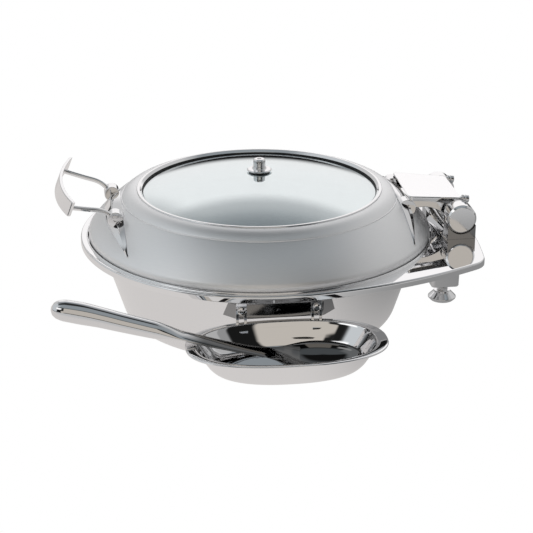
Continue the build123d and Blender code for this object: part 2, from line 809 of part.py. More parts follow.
# y and z along the handle, half width and half height of its oval section there
handle_stations = (
    (0, 57.3, 10.5, 1.7),
    (-19, 59.3, 8.8, 1.6),
    (-41, 62.3, 8.4, 1.8),
    (-66, 66.9, 8.4, 2.0),
    (-94, 73.0, 8.8, 2.4),
    (-119, 79.1, 9.4, 3.2),
    (-136, 83.0, 10.4, 7.0),
    (-152, 86.4, 11.0, 10.0),
    (-192, 95.8, 11.6, 11.4),
    (-214, 101.5, 12.2, 12.0),
    (-237, 106.6, 13.4, 13.2),
    (-257, 110.3, 13.0, 12.8),
    (-266, 111.8, 9.5, 9.2),
)
handle_points = [Vector(spoon_x + spoon_skew * (y - spoon_y), y, z) for y, z, *oval_size in handle_stations]
rolled = Vector(cos(radians(spoon_roll)), 0, -sin(radians(spoon_roll)))
with BuildPart() as spoon_handle:
    for index, (y, z, half_wide, half_high) in enumerate(handle_stations):
        before = handle_points[max(index - 1, 0)]
        after = handle_points[min(index + 1, len(handle_points) - 1)]
        with BuildSketch(Plane(origin=handle_points[index], x_dir=rolled, z_dir=after - before)):
            Ellipse(half_wide, half_high)
    loft()
    fillet(spoon_handle.faces().sort_by(Axis.Y)[0].edges(), 4)
    add(spindle(), mode=Mode.SUBTRACT)
save(spoon_handle, "spoon_handle")
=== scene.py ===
from math import asin, atan2, copysign, cos, hypot, pi, radians, sin, sqrt, tan

import bmesh
import bpy
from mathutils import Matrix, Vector

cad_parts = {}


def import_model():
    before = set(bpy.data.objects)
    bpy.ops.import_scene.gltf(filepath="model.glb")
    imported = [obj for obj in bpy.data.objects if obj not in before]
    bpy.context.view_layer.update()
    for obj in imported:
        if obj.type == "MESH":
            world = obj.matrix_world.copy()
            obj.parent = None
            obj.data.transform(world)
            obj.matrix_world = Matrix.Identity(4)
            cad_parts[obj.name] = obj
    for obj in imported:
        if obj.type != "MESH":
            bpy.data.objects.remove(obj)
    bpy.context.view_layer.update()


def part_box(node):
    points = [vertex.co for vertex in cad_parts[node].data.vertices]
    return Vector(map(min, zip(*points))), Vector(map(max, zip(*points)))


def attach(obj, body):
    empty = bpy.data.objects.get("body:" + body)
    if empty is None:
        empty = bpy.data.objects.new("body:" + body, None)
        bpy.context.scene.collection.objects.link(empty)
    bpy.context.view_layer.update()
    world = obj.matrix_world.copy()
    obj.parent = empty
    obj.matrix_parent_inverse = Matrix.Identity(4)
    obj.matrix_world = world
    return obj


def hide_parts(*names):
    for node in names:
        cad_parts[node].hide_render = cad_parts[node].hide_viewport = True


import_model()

MM = 0.001

# ------------------------------------------------------------------ places taken from the frame

FRAME_LOW, FRAME_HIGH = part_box("rim_frame")
BOWL_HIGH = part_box("outer_bowl")[1]
PEDESTAL_LOW, PEDESTAL_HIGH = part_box("hinge_pedestals")
LID_LOW, LID_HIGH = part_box("lid_shell")
RING_LOW, RING_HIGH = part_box("window_ring")
GLASS_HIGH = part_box("lid_glass")[1]
CAP_LOW, CAP_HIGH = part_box("hinge_end_caps")

RIM_RADIUS = -FRAME_LOW.x
FRAME_REAR = FRAME_HIGH.y
SKIRT_BOTTOM = FRAME_LOW.z
PLATE_TOP = PEDESTAL_LOW.z
FRAME_SHEET = 1.5 * MM
OPENING_RADIUS = 221 * MM
PAN_OPENING_RADIUS = 200 * MM
LEDGE_TOP = BOWL_HIGH.z + FRAME_SHEET

LID_RADIUS = LID_HIGH.x
LID_BOTTOM = LID_LOW.z
LID_SHEET = 1.5 * MM
RING_TOP = RING_HIGH.z
RING_OUTER = RING_HIGH.x
RING_INNER = RING_OUTER - 6 * MM
GLASS_RADIUS = GLASS_HIGH.x
GLASS_APEX = GLASS_HIGH.z
GLASS_EDGE = 166 * MM
GLASS_THICKNESS = 4 * MM

CAP_RADIUS = (CAP_HIGH.y - CAP_LOW.y) / 2
CAP_LENGTH = 24 * MM
HINGE_Y = (CAP_LOW.y + CAP_HIGH.y) / 2
HINGE_Z = (CAP_LOW.z + CAP_HIGH.z) / 2
AXLE_RADIUS = 6 * MM
ARM_THICKNESS = 5 * MM
COVER_FRONT, COVER_REAR = Vector((0, 185, 165)) * MM, Vector((0, 254.5, 158)) * MM
BOSS_HALF_WIDTH = 9 * MM

SIDES = (("near", 1), ("far", -1))
X_AXIS, Y_AXIS, Z_AXIS = Vector((1, 0, 0)), Vector((0, 1, 0)), Vector((0, 0, 1))


# ------------------------------------------------------------------ mesh helpers

def new_object(name, vertices, faces):
    """A mesh object from points and faces."""
    mesh = bpy.data.meshes.new(name)
    mesh.from_pydata([tuple(v) for v in vertices], [], faces)
    mesh.validate()
    obj = bpy.data.objects.new(name, mesh)
    bpy.context.scene.collection.objects.link(obj)
    return obj


def finish_mesh(obj, sharp_angle=40):
    """Consistent outward faces, smooth shading and sharp edges above an angle."""
    bm = bmesh.new()
    bm.from_mesh(obj.data)
    bmesh.ops.remove_doubles(bm, verts=bm.verts, dist=1e-6)
    bmesh.ops.recalc_face_normals(bm, faces=bm.faces)
    bm.to_mesh(obj.data)
    bm.free()
    for polygon in obj.data.polygons:
        polygon.use_smooth = True
    obj.data.set_sharp_from_angle(angle=radians(sharp_angle))
    return obj


def weighted_normals(obj):
    """Keeps flat faces flat next to rounded edges."""
    modifier = obj.modifiers.new("weighted", "WEIGHTED_NORMAL")
    modifier.keep_sharp = True
    modifier.weight = 60
    return obj


def circle_loop(centre, radius, side, other, count):
    """Points round a circle in the plane of two unit vectors."""
    angles = [2 * pi * k / count for k in range(count)]
    return [centre + radius * (cos(angle) * side + sin(angle) * other) for angle in angles]


def skin(name, loops, closed_ends=False, ring_of_loops=False, sharp_angle=40):
    """Quads between loops of equal length; each loop is closed."""
    count = len(loops[0])
    vertices = [p for loop in loops for p in loop]
    faces = []
    last = len(loops) if ring_of_loops else len(loops) - 1
    for row in range(last):
        here, there = row * count, ((row + 1) % len(loops)) * count
        for i in range(count):
            j = (i + 1) % count
            faces.append((here + i, here + j, there + j, there + i))
    if closed_ends:
        faces.append(tuple(range(count))[::-1])
        faces.append(tuple(range((len(loops) - 1) * count, len(loops) * count)))
    return finish_mesh(new_object(name, vertices, faces), sharp_angle)


def rounded(points, radii, steps=7, support=0.5):
    """Open path with its inner corners rounded; radii and the distance of the support points are in mm."""
    path = [Vector(points[0])]
    for index in range(1, len(points) - 1):
        before, corner, after = (Vector(points[index + k]) for k in (-1, 0, 1))
        radius = radii[index - 1] * MM
        into, out = (corner - before), (after - corner)
        turn = into.angle(out)
        if radius <= 0 or turn < 1e-3:
            path.append(corner)
            continue
        reach = min(radius * tan(turn / 2), 0.48 * into.length, 0.48 * out.length)
        start, end = corner - into.normalized() * reach, corner + out.normalized() * reach
        path.append(start - into.normalized() * min(support * MM, 0.3 * into.length))
        for step in range(steps + 1):
            t = step / steps
            path.append(start * (1 - t) ** 2 + corner * 2 * t * (1 - t) + end * t * t)
        path.append(end + out.normalized() * min(support * MM, 0.3 * out.length))
    path.append(Vector(points[-1]))
    return path


def arc_through(start, middle, end, steps):
    """Points on the circular arc through three 2D points, ends included."""
    a, b, c = Vector(start), Vector(middle), Vector(end)
    d = 2 * (a.x * (b.y - c.y) + b.x * (c.y - a.y) + c.x * (a.y - b.y))
    aa, bb, cc = (p.length_squared for p in (a, b, c))
    ux = (aa * (b.y - c.y) + bb * (c.y - a.y) + cc * (a.y - b.y)) / d
    uy = (aa * (c.x - b.x) + bb * (a.x - c.x) + cc * (b.x - a.x)) / d
    centre = Vector((ux, uy))
    radius = (a - centre).length
    first, mid, last = (atan2(p.y - uy, p.x - ux) for p in (a, b, c))
    if (last - first) % (2 * pi) < (mid - first) % (2 * pi):
        sweep = -((first - last) % (2 * pi))
    else:
        sweep = (last - first) % (2 * pi)
    return [
        centre + radius * Vector((cos(first + sweep * k / steps), sin(first + sweep * k / steps)))
        for k in range(steps + 1)
    ]


def turn(name, profile, origin, axis, side, segments=96, sharp_angle=40):
    """Turns a (radius, distance) profile about a line; it ends on the line or closes on itself."""
    on_line = profile[0][0] < 1e-9 and profile[-1][0] < 1e-9
    other = axis.cross(side)
    loops = [circle_loop(origin + axis * along, radius, side, other, segments) for radius, along in profile]
    return skin(name, loops, ring_of_loops=not on_line, sharp_angle=sharp_angle)


def lathe(name, profile, segments=192, centre=(0, 0), sharp_angle=40):
    """Turns a (radius, height) profile about a vertical line."""
    return turn(name, profile, Vector((*centre, 0)), Z_AXIS, X_AXIS, segments, sharp_angle)


def lathe_x(name, profile, y, z, segments=96, sharp_angle=40):
    """Turns a (radius, x) profile about a line along X."""
    side = X_AXIS.orthogonal().normalized()
    return turn(name, profile, Vector((0, y, z)), X_AXIS, side, segments, sharp_angle)


def prism(name, outline, place, depth, bevel=0.4 * MM, segments=3):
    """Solid from a 2D outline; place(u, v, w) gives the point, w runs 0 to depth."""
    count = len(outline)
    vertices = [place(u, v, 0) for u, v in outline] + [place(u, v, depth) for u, v in outline]
    faces = [tuple(range(count))[::-1], tuple(range(count, 2 * count))]
    for i in range(count):
        j = (i + 1) % count
        faces.append((i, j, count + j, count + i))
    obj = finish_mesh(new_object(name, vertices, faces))
    return bevelled(obj, bevel, segments) if bevel else obj


def bevelled(obj, width, segments=3):
    """Rounds every edge that turns by more than 35 degrees."""
    modifier = obj.modifiers.new("edges", "BEVEL")
    modifier.width = width
    modifier.segments = segments
    modifier.limit_method = "ANGLE"
    modifier.angle_limit = radians(35)
    modifier.harden_normals = True
    return obj


def carve(obj, *cutters):
    """Cuts shapes out of a piece and removes the cutters."""
    for cutter in cutters:
        modifier = obj.modifiers.new("cut", "BOOLEAN")
        modifier.operation = "DIFFERENCE"
        modifier.solver = "EXACT"
        modifier.object = cutter
    bpy.context.view_layer.update()
    depsgraph = bpy.context.evaluated_depsgraph_get()
    mesh = bpy.data.meshes.new_from_object(obj.evaluated_get(depsgraph))
    obj.modifiers.clear()
    obj.data = mesh
    for cutter in cutters:
        bpy.data.objects.remove(cutter)


def along_x(start):
    """Places a (y, z) outline at x = start and grows it towards +X."""
    return lambda y, z, w: Vector((start + w, y, z))


def tube(name, points, radius, sides=32, smooth_steps=10):
    """Round bar along points, with closed ends and gently rounded bends."""
    path = smooth_curve(points, smooth_steps)
    ahead_of = headings(path)
    side = ahead_of[0].orthogonal().normalized()
    loops = []
    for point, ahead in zip(path, ahead_of):
        side = (side - ahead * side.dot(ahead)).normalized()
        loops.append(circle_loop(point, radius, side, ahead.cross(side), sides))
    return skin(name, loops, closed_ends=True)


def smooth_curve(points, steps):
    """Centripetal Catmull-Rom curve through 3D points."""
    pts = [Vector(p) for p in points]
    pts = [2 * pts[0] - pts[1]] + pts + [2 * pts[-1] - pts[-2]]
    out = []
    for i in range(1, len(pts) - 2):
        p0, p1, p2, p3 = pts[i - 1 : i + 3]
        t1 = (p1 - p0).length ** 0.5
        t2 = t1 + (p2 - p1).length ** 0.5
        t3 = t2 + (p3 - p2).length ** 0.5
        for k in range(steps):
            t = t1 + (t2 - t1) * k / steps
            a1 = p0.lerp(p1, t / t1)
            a2 = p1.lerp(p2, (t - t1) / (t2 - t1))
            a3 = p2.lerp(p3, (t - t2) / (t3 - t2))
            b1 = a1.lerp(a2, t / t2)
            b2 = a2.lerp(a3, (t - t1) / (t3 - t1))
            out.append(b1.lerp(b2, (t - t1) / (t2 - t1)))
    out.append(pts[-2].copy())
    return out


def headings(path):
    """Unit direction of travel at each point of an open path."""
    last = len(path) - 1
    return [(path[min(k + 1, last)] - path[max(k - 1, 0)]).normalized() for k in range(last + 1)]


def place_piece(obj, body, material, *nodes):
    """Gives a piece its material and body, and hides the CAD nodes it stands for."""
    obj.data.materials.clear()
    obj.data.materials.append(material)
    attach(obj, body)
    if nodes:
        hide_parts(*nodes)


def place_set(pieces, body, material, node):
    """Places matching pieces; the first of them stands for their CAD node."""
    place_piece(pieces[0], body, material, node)
    for piece in pieces[1:]:
        place_piece(piece, body, material)


# ------------------------------------------------------------------ materials


def nodes_of(name):
    """A new material with its node tree and shader."""
    material = bpy.data.materials.new(name)
    material.use_nodes = True
    tree = material.node_tree
    shader = tree.nodes["Principled BSDF"]
    return material, tree, shader


def link_noise(tree, scale, detail=3.0, roughness=0.55, stretch=(1, 1, 1), vector=None):
    """Noise value, in object coordinates unless a vector is given."""
    noise = tree.nodes.new("ShaderNodeTexNoise")
    noise.inputs["Scale"].default_value = scale
    noise.inputs["Detail"].default_value = detail
    noise.inputs["Roughness"].default_value = roughness
    mapping = tree.nodes.new("ShaderNodeMapping")
    mapping.inputs["Scale"].default_value = stretch
    if vector is None:
        vector = tree.nodes.new("ShaderNodeTexCoord").outputs["Object"]
    tree.links.new(vector, mapping.inputs["Vector"])
    tree.links.new(mapping.outputs["Vector"], noise.inputs["Vector"])
    return noise.outputs["Fac"]


def map_range(tree, value, low, high, from_low=0.3, from_high=0.7):
    """Rescales a value; noise mostly lies between 0.3 and 0.7."""
    node = tree.nodes.new("ShaderNodeMapRange")
    node.inputs["From Min"].default_value = from_low
    node.inputs["From Max"].default_value = from_high
    node.inputs["To Min"].default_value = low
    node.inputs["To Max"].default_value = high
    tree.links.new(value, node.inputs["Value"])
    return node.outputs["Result"]


def bump(tree, shader, height, strength, distance):
    """Relief on a material from a height value."""
    node = tree.nodes.new("ShaderNodeBump")
    node.inputs["Strength"].default_value = strength
    node.inputs["Distance"].default_value = distance
    tree.links.new(height, node.inputs["Height"])
    tree.links.new(node.outputs["Normal"], shader.inputs["Normal"])


def split_axes(tree, output="Object"):
    """Sockets with the X, Y and Z of a texture coordinate."""
    split = tree.nodes.new("ShaderNodeSeparateXYZ")
    tree.links.new(tree.nodes.new("ShaderNodeTexCoord").outputs[output], split.inputs[0])
    return split.outputs["X"], split.outputs["Y"], split.outputs["Z"]


def math_node(tree, operation, *values):
    """One arithmetic step; plain numbers become constants."""
    node = tree.nodes.new("ShaderNodeMath")
    node.operation = operation
    for index, value in enumerate(values):
        if isinstance(value, (int, float)):
            node.inputs[index].default_value = value
        else:
            tree.links.new(value, node.inputs[index])
    return node.outputs[0]


def smooth_step(tree, value, start, end):
    """0 before start, 1 after end, smooth between; start may lie above end."""
    node = tree.nodes.new("ShaderNodeMapRange")
    node.interpolation_type = "SMOOTHSTEP"
    node.inputs["From Min"].default_value = start
    node.inputs["From Max"].default_value = end
    tree.links.new(value, node.inputs["Value"])
    return node.outputs["Result"]


def mixed(tree, factor, first, second):
    """Blend of two colours, each a tuple or a socket."""
    node = tree.nodes.new("ShaderNodeMix")
    node.data_type = "RGBA"
    tree.links.new(factor, node.inputs["Factor"])
    for socket, value in ((node.inputs[6], first), (node.inputs[7], second)):
        if isinstance(value, tuple):
            socket.default_value = (*value, 1)
        else:
            tree.links.new(value, socket)
    return node.outputs[2]


def grey(tone):
    return (tone, tone, tone)


def turned_vector(tree, along=60.0):
    """Texture vector that barely changes around Z, for marks that run round a turned part."""
    x, y, z = split_axes(tree)
    squares = [math_node(tree, "MULTIPLY", value, value) for value in (x, y)]
    length = math_node(tree, "SQRT", math_node(tree, "ADD", *squares))
    slow = math_node(tree, "MULTIPLY", math_node(tree, "ARCTAN2", y, x), 1 / along)
    joined = tree.nodes.new("ShaderNodeCombineXYZ")
    for value, socket in zip((length, slow, z), joined.inputs):
        tree.links.new(value, socket)
    return joined.outputs[0]


def polished_steel(name, tone=0.86, low=0.03, high=0.075, wave=0.04):
    """Mirror-polished stainless: faint polishing haze and a slow ripple of the sheet."""
    material, tree, shader = nodes_of(name)
    shader.inputs["Metallic"].default_value = 1.0
    shader.inputs["Base Color"].default_value = (tone, tone, tone * 1.008, 1)
    haze = link_noise(tree, 18, 5, 0.6)
    tree.links.new(map_range(tree, haze, low, high), shader.inputs["Roughness"])
    bump(tree, shader, link_noise(tree, 9, 1.5, 0.4), wave, 0.004)
    return material


def satin_steel(name, tone=0.74, roughness=0.3, along=40.0):
    """Satin stainless with fine marks that run round the turned shape."""
    material, tree, shader = nodes_of(name)
    shader.inputs["Metallic"].default_value = 1.0
    vector = turned_vector(tree, along)
    grain = link_noise(tree, 900, 2, 0.5, vector=vector)
    cloud = link_noise(tree, 7, 4, 0.5)
    colour = mixed(tree, grain, (tone * 0.97, tone * 0.975, tone * 0.985), grey(tone * 1.03))
    tree.links.new(colour, shader.inputs["Base Color"])
    tree.links.new(map_range(tree, cloud, roughness - 0.03, roughness + 0.03), shader.inputs["Roughness"])
    bump(tree, shader, grain, 0.06, 0.0004)
    return material


def window_glass(name):
    """Clear toughened glass: reflects more the flatter it is seen, with a faint cool tint."""
    material, tree, shader = nodes_of(name)
    shader.inputs["Base Color"].default_value = (0.84, 0.90, 0.91, 1)
    shader.inputs["Metallic"].default_value = 1.0
    streaks = link_noise(tree, 6, 3, 0.5, stretch=(0.35, 2.4, 1))
    tree.links.new(map_range(tree, streaks, 0.01, 0.05), shader.inputs["Roughness"])
    bump(tree, shader, link_noise(tree, 4, 1, 0.3), 0.02, 0.003)
    fresnel = tree.nodes.new("ShaderNodeFresnel")
    fresnel.inputs["IOR"].default_value = 1.5
    tree.links.new(map_range(tree, fresnel.outputs["Fac"], 0.2, 0.86, 0.04, 0.078), shader.inputs["Alpha"])
    return material


def paint_shade_towards(material, axis, start, end, tone):
    """Painted shade: fades a steel's colour down to tone along one axis of the frame."""
    tree = material.node_tree
    shader = tree.nodes["Principled BSDF"]
    share = smooth_step(tree, split_axes(tree)["XYZ".index(axis)], start, end)
    full = shader.inputs["Base Color"].default_value[:3]
    tree.links.new(mixed(tree, share, full, grey(tone)), shader.inputs["Base Color"])


def silicone(name, colour, roughness=0.55):
    """Fine-grained rubber."""
    material, tree, shader = nodes_of(name)
    shader.inputs["Base Color"].default_value = (*colour, 1)
    grain = link_noise(tree, 700, 2, 0.5)
    tree.links.new(map_range(tree, grain, roughness - 0.05, roughness + 0.08), shader.inputs["Roughness"])
    bump(tree, shader, grain, 0.08, 0.0003)
    return material


POLISHED = polished_steel("polished_steel")
MIRROR = polished_steel("mirror_plate", tone=0.88, low=0.008, high=0.02, wave=0.006)
BOWL_STEEL = polished_steel("bowl_steel", tone=0.86, low=0.10, high=0.16, wave=0.02)
PLATE = polished_steel("cover_plate_steel", tone=0.95, low=0.16, high=0.22, wave=0.01)
CAP_STEEL = polished_steel("end_cap_steel", tone=0.9, low=0.06, high=0.1, wave=0.01)
DISH_STEEL = polished_steel("dish_steel", tone=0.88, low=0.012, high=0.035, wave=0.03)
# painted shade: polished steel darkened to tone 0.3 to stand in for the dark reflections on the hinge
# pedestals and the dish bracket
SHADED_STEEL = polished_steel("shaded_steel", tone=0.3, low=0.08, high=0.14, wave=0.01)
SPOON_STEEL = polished_steel("spoon_steel", tone=0.82, low=0.02, high=0.05, wave=0.02)
# painted shade: the spoon's bowl and neck are darkened to stand in for dark reflections, while the grip keeps
# the full tone
paint_shade_towards(SPOON_STEEL, "Y", -125 * MM, -95 * MM, 0.18)
SATIN = satin_steel("satin_steel")
LID_STEEL = satin_steel("lid_satin", tone=0.95, roughness=0.46)
SATIN_INSIDE = satin_steel("satin_inside", tone=0.62, roughness=0.38)
SPRING = satin_steel("spring_wire", tone=0.5, roughness=0.25)
GLASS = window_glass("window_glass")
BLACK = silicone("black_silicone", (0.008, 0.008, 0.009))
CLEAR = silicone("clear_silicone", (0.62, 0.63, 0.63), 0.4)


# ------------------------------------------------------------------ bowl and frame

def bowl():
    """Bowl shell: recessed middle, flat base ring, flared wall and a flange under the frame."""
    top, sheet, recess = BOWL_HIGH.z, 1.2 * MM, 5 * MM
    flange = 213 * MM
    path = rounded(
        [
            (0, recess), (114 * MM, recess), (118 * MM, 0), (172.8 * MM, 0),
            (205.1 * MM, top - sheet), (flange, top - sheet),
        ],
        [2, 2, 24, 1.5], steps=14,
    )
    inside = [Vector((max(0, p.x - 0.9 * MM), p.y + 1.15 * MM)) for p in reversed(path[:-1])]
    profile = path + [Vector((flange, top))] + inside
    place_piece(lathe("outer_bowl_shell", profile, 256), "base", BOWL_STEEL, "outer_bowl")


def circle_meet(c0, r0, c1, r1, pick):
    """One of the two points where two circles cross."""
    between = c1 - c0
    d = between.length
    a = (r0 * r0 - r1 * r1 + d * d) / (2 * d)
    h = sqrt(max(0.0, r0 * r0 - a * a))
    mid = c0 + between * (a / d)
    offset = Vector((-between.y, between.x)) * (h / d)
    return max((mid + offset, mid - offset), key=pick)


def ray_on_circle(direction, centre, radius):
    """Distance from the origin, along direction, at which a ray leaves a circle."""
    b = direction.dot(centre)
    return b + sqrt(b * b - centre.length_squared + radius * radius)


def frame_plan(count=720):
    """Outline of the frame as polar samples: round in front, straight-sided to a blunt rear."""
    join = radians(5)
    tangent = Vector((-sin(join), cos(join)))
    start = Vector((RIM_RADIUS * cos(join), RIM_RADIUS * sin(join)))
    chord = Vector((149 * MM, 262 * MM)) - start
    side_radius = chord.length / (2 * sin(tangent.angle(chord)))
    side_centre = start - Vector((cos(join), sin(join))) * side_radius
    rear_radius = 964 * MM
    rear_centre = Vector((0, FRAME_REAR - rear_radius))
    corner_radius = 30 * MM
    corner = circle_meet(
        side_centre, side_radius - corner_radius, rear_centre, rear_radius - corner_radius, lambda p: p.x
    )
    side_end = side_centre + (corner - side_centre).normalized() * side_radius
    rear_start = rear_centre + (corner - rear_centre).normalized() * rear_radius
    side_angle = atan2(side_end.y, side_end.x)
    rear_angle = atan2(rear_start.y, rear_start.x)
    points = []
    for around in circle_loop(Vector((0, 0)), 1, Vector((1, 0)), Vector((0, 1)), count):
        right = Vector((abs(around.x), around.y))
        polar = atan2(right.y, right.x)
        if polar <= join:
            reach = RIM_RADIUS
        elif polar <= side_angle:
            reach = ray_on_circle(right, side_centre, side_radius)
        elif polar <= rear_angle:
            reach = ray_on_circle(right, corner, corner_radius)
        else:
            reach = ray_on_circle(right, rear_centre, rear_radius)
        points.append(around * reach)
    return points


def rim_frame():
    """Pressed plate: outer skirt, a raised lip round the opening and the ledge that holds the food pan."""
    plan = frame_plan()
    count = len(plan)
    normals = []
    for k in range(count):
        along = plan[(k + 1) % count] - plan[k - 1]
        normals.append(Vector((along.y, -along.x)).normalized())

    def edge_loop(inset, height):
        return [Vector((*(p - n * inset), height)) for p, n in zip(plan, normals)]

    def round_loop(radius, height):
        return circle_loop(Z_AXIS * height, radius, X_AXIS, Y_AXIS, count)

    sheet, lip = FRAME_SHEET, FRAME_HIGH.z
    fold, under = OPENING_RADIUS + sheet, PLATE_TOP - sheet
    outer = rounded(
        [(sheet, SKIRT_BOTTOM), (0, SKIRT_BOTTOM), (0, PLATE_TOP), (5.5 * MM, PLATE_TOP)],
        [0.5, 2.6], steps=8, support=0.3,
    )
    inner = rounded(
        [
            (fold + 0.7 * MM, PLATE_TOP), (fold + 0.1 * MM, PLATE_TOP), (fold, lip),
            (OPENING_RADIUS, lip), (OPENING_RADIUS, LEDGE_TOP), (PAN_OPENING_RADIUS, LEDGE_TOP),
            (PAN_OPENING_RADIUS, LEDGE_TOP - sheet), (fold, LEDGE_TOP - sheet),
            (fold, under), (fold + 0.7 * MM, under),
        ],
        [0.1, 0.6, 0.6, 0.8, 0.5, 0.5, 0, 0], steps=4, support=0.2,
    )
    loops = [edge_loop(inset, height) for inset, height in outer]
    loops += [round_loop(radius, height) for radius, height in inner]
    loops += [edge_loop(inset, under) for inset in (5.5 * MM, sheet)]
    plate = skin("rim_frame_plate", loops, ring_of_loops=True, sharp_angle=30)
    weighted_normals(plate)
    place_piece(plate, "base", MIRROR, "rim_frame")


def support_post():
    """Square post that widens a little towards the plate."""
    low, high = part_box("support_post")
    y = (low.y + high.y) / 2
    bottom_half, top_half, corner, edge = 18.5 * MM, 20.3 * MM, 5 * MM, 0.6 * MM
    loops = []
    for share in (0.0, 0.012, 0.5, 1.0):
        half = bottom_half + (top_half - bottom_half) * share - (edge if share == 0 else 0)
        loops.append(rounded_square(half, corner, (0, y), low.z + (high.z - low.z) * share))
    post = skin("support_post_tube", loops, closed_ends=True)
    weighted_normals(post)
    place_piece(post, "base", POLISHED, "support_post")


def rounded_square(half, corner, centre, height, steps=8):
    """Closed loop round a square with rounded corners."""
    points = []
    for quarter, (sx, sy) in enumerate(((1, 1), (-1, 1), (-1, -1), (1, -1))):
        middle = Vector((centre[0] + sx * (half - corner), centre[1] + sy * (half - corner), height))
        for k in range(steps + 1):
            angle = pi / 2 * (quarter + k / steps)
            points.append(middle + corner * Vector((cos(angle), sin(angle), 0)))
    return points


def levelling_foot():
    """Cone-shaped pad under the post's screw."""
    low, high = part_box("foot_pad")
    bore, top, base = 5.2 * MM, 10.8 * MM, 18.5 * MM
    pad = rounded(
        [
            (bore, high.z), (top, high.z), (top + 0.8 * MM, high.z - 1.5 * MM), (base - 1.1 * MM, 6.4 * MM),
            (base, 5.2 * MM), (base, 3.6 * MM), (15 * MM, 0), (bore, 0),
        ],
        [0.6, 1.5, 1.2, 0.8, 1.2, 1.5], steps=5, support=0.2,
    )
    centre = (0, (low.y + high.y) / 2)
    place_piece(lathe("foot_pad_cone", pad, 96, centre), "foot_pad", POLISHED, "foot_pad")


# ------------------------------------------------------------------ lid

def lid_profile(grow=0.0):
    """Surface of the lid from the foot of its side to the window ring, moved outwards by grow."""
    crease_point = (176.5 * MM + 0.64 * grow, 160.3 * MM + 0.77 * grow)
    side = arc_through(
        (LID_RADIUS + 0.9 * grow, 119.5 * MM + 0.43 * grow),
        (199.5 * MM + 0.67 * grow, 141.6 * MM + 0.74 * grow), crease_point, 28,
    )
    crown = arc_through(
        crease_point, (167.5 * MM + 0.45 * grow, 167.0 * MM + 0.89 * grow), (RING_OUTER, 170 * MM + grow), 14
    )
    return side, crown


def crease(foot):
    """Fine raised line where the lid's side meets its crown."""
    half_width, height = 0.8 * MM, 0.55 * MM
    outward, onward = Vector((0.64, 0.77)), Vector((-0.77, 0.64))
    return [foot + onward * half_width * k / 4 + outward * height * cos(pi * k / 8) for k in range(-4, 5)]


def lid_shell():
    """Pressed lid with a short upright rim, open in the middle for the window."""
    side, crown = lid_profile()
    rim = [(LID_RADIUS, LID_BOTTOM + rise) for rise in (0, 1.2 * MM, 6.5 * MM)]
    rim += [(LID_RADIUS - 0.1 * MM, LID_BOTTOM + 8.5 * MM)]
    outside = [Vector(p) for p in rim] + side[1:-1] + crease(side[-1]) + crown[1:]
    inner_side, inner_crown = lid_profile(-LID_SHEET)
    inside = [Vector((LID_RADIUS - LID_SHEET, LID_BOTTOM))] + inner_side[1:] + inner_crown[1:]
    lid = lathe("lid_shell_cover", outside + inside[::-1], 256, sharp_angle=50)
    place_piece(lid, "lid", LID_STEEL, "lid_shell")


def window_ring():
    """Ring that clamps the glass: a flat seat below and a chamfered bead above."""
    seat, seat_top = RING_INNER - 6 * MM, RING_LOW.z + 1.5 * MM
    ring = rounded(
        [
            (RING_INNER, seat_top), (RING_INNER, 167.6 * MM), (RING_INNER - 0.8 * MM, 168.4 * MM),
            (RING_INNER + 2.2 * MM, RING_TOP), (RING_OUTER, RING_TOP), (RING_OUTER, RING_LOW.z),
            (seat, RING_LOW.z), (seat, seat_top), (RING_INNER, seat_top),
        ],
        [0.2, 0.3, 1.2, 2.4, 0.4, 0.3, 0.3], steps=8, support=0.2,
    )[:-1]
    place_piece(lathe("window_ring_bead", ring, 256), "lid", POLISHED, "window_ring")


def lid_glass():
    """Domed glass, part of a sphere, with a hole for the vent's stem."""
    rise, hole, steps = GLASS_APEX - GLASS_EDGE, 6 * MM, 40
    dome = (GLASS_RADIUS**2 + rise**2) / (2 * rise)
    top = []
    for k in range(steps + 1):
        radius = hole + (GLASS_RADIUS - hole) * k / steps
        top.append(Vector((radius, GLASS_APEX - dome + sqrt(dome * dome - radius * radius))))
    under = [p - Vector((0, GLASS_THICKNESS)) for p in reversed(top)]
    place_piece(lathe("lid_glass_dome", top + under, 192), "lid", GLASS, "lid_glass")


def glass_seal():
    """Rubber channel round the edge of the glass."""
    low, lip = RING_LOW.z + 1.5 * MM, GLASS_RADIUS - 0.5 * MM
    seal = rounded(
        [
            (GLASS_RADIUS, GLASS_EDGE - GLASS_THICKNESS), (lip, GLASS_EDGE - 3.6 * MM), (lip, low),
            (RING_INNER, low), (RING_INNER, GLASS_EDGE + 1.5 * MM), (lip + 0.6 * MM, GLASS_EDGE + 1.5 * MM),
            (lip, GLASS_EDGE + 0.9 * MM), (lip, GLASS_EDGE + 0.3 * MM), (GLASS_RADIUS, GLASS_EDGE + 0.1 * MM),
        ],
        [0.3, 0.3, 0.3, 0.1, 0.2, 0.1, 0.1], steps=3, support=0.1,
    )
    place_piece(lathe("glass_seal_band", seal, 192), "lid", BLACK, "glass_seal")


def vent_flange():
    """Stepped disc on the glass that carries the vent's knob."""
    low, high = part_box("vent_flange")
    base, bore, neck = low.z, 5 * MM, 8.4 * MM
    flange = rounded(
        [
            (bore, base), (15 * MM, base), (16 * MM, base + 0.8 * MM), (14.5 * MM, base + 2 * MM),
            (neck + 1 * MM, base + 2.6 * MM), (neck, base + 3.4 * MM), (neck, high.z), (bore, high.z),
        ],
        [0.4, 0.5, 0.8, 0.6, 0.4, 0.5], steps=4, support=0.1,
    )
    place_piece(lathe("vent_flange_disc", flange, 96), "lid", POLISHED, "vent_flange")


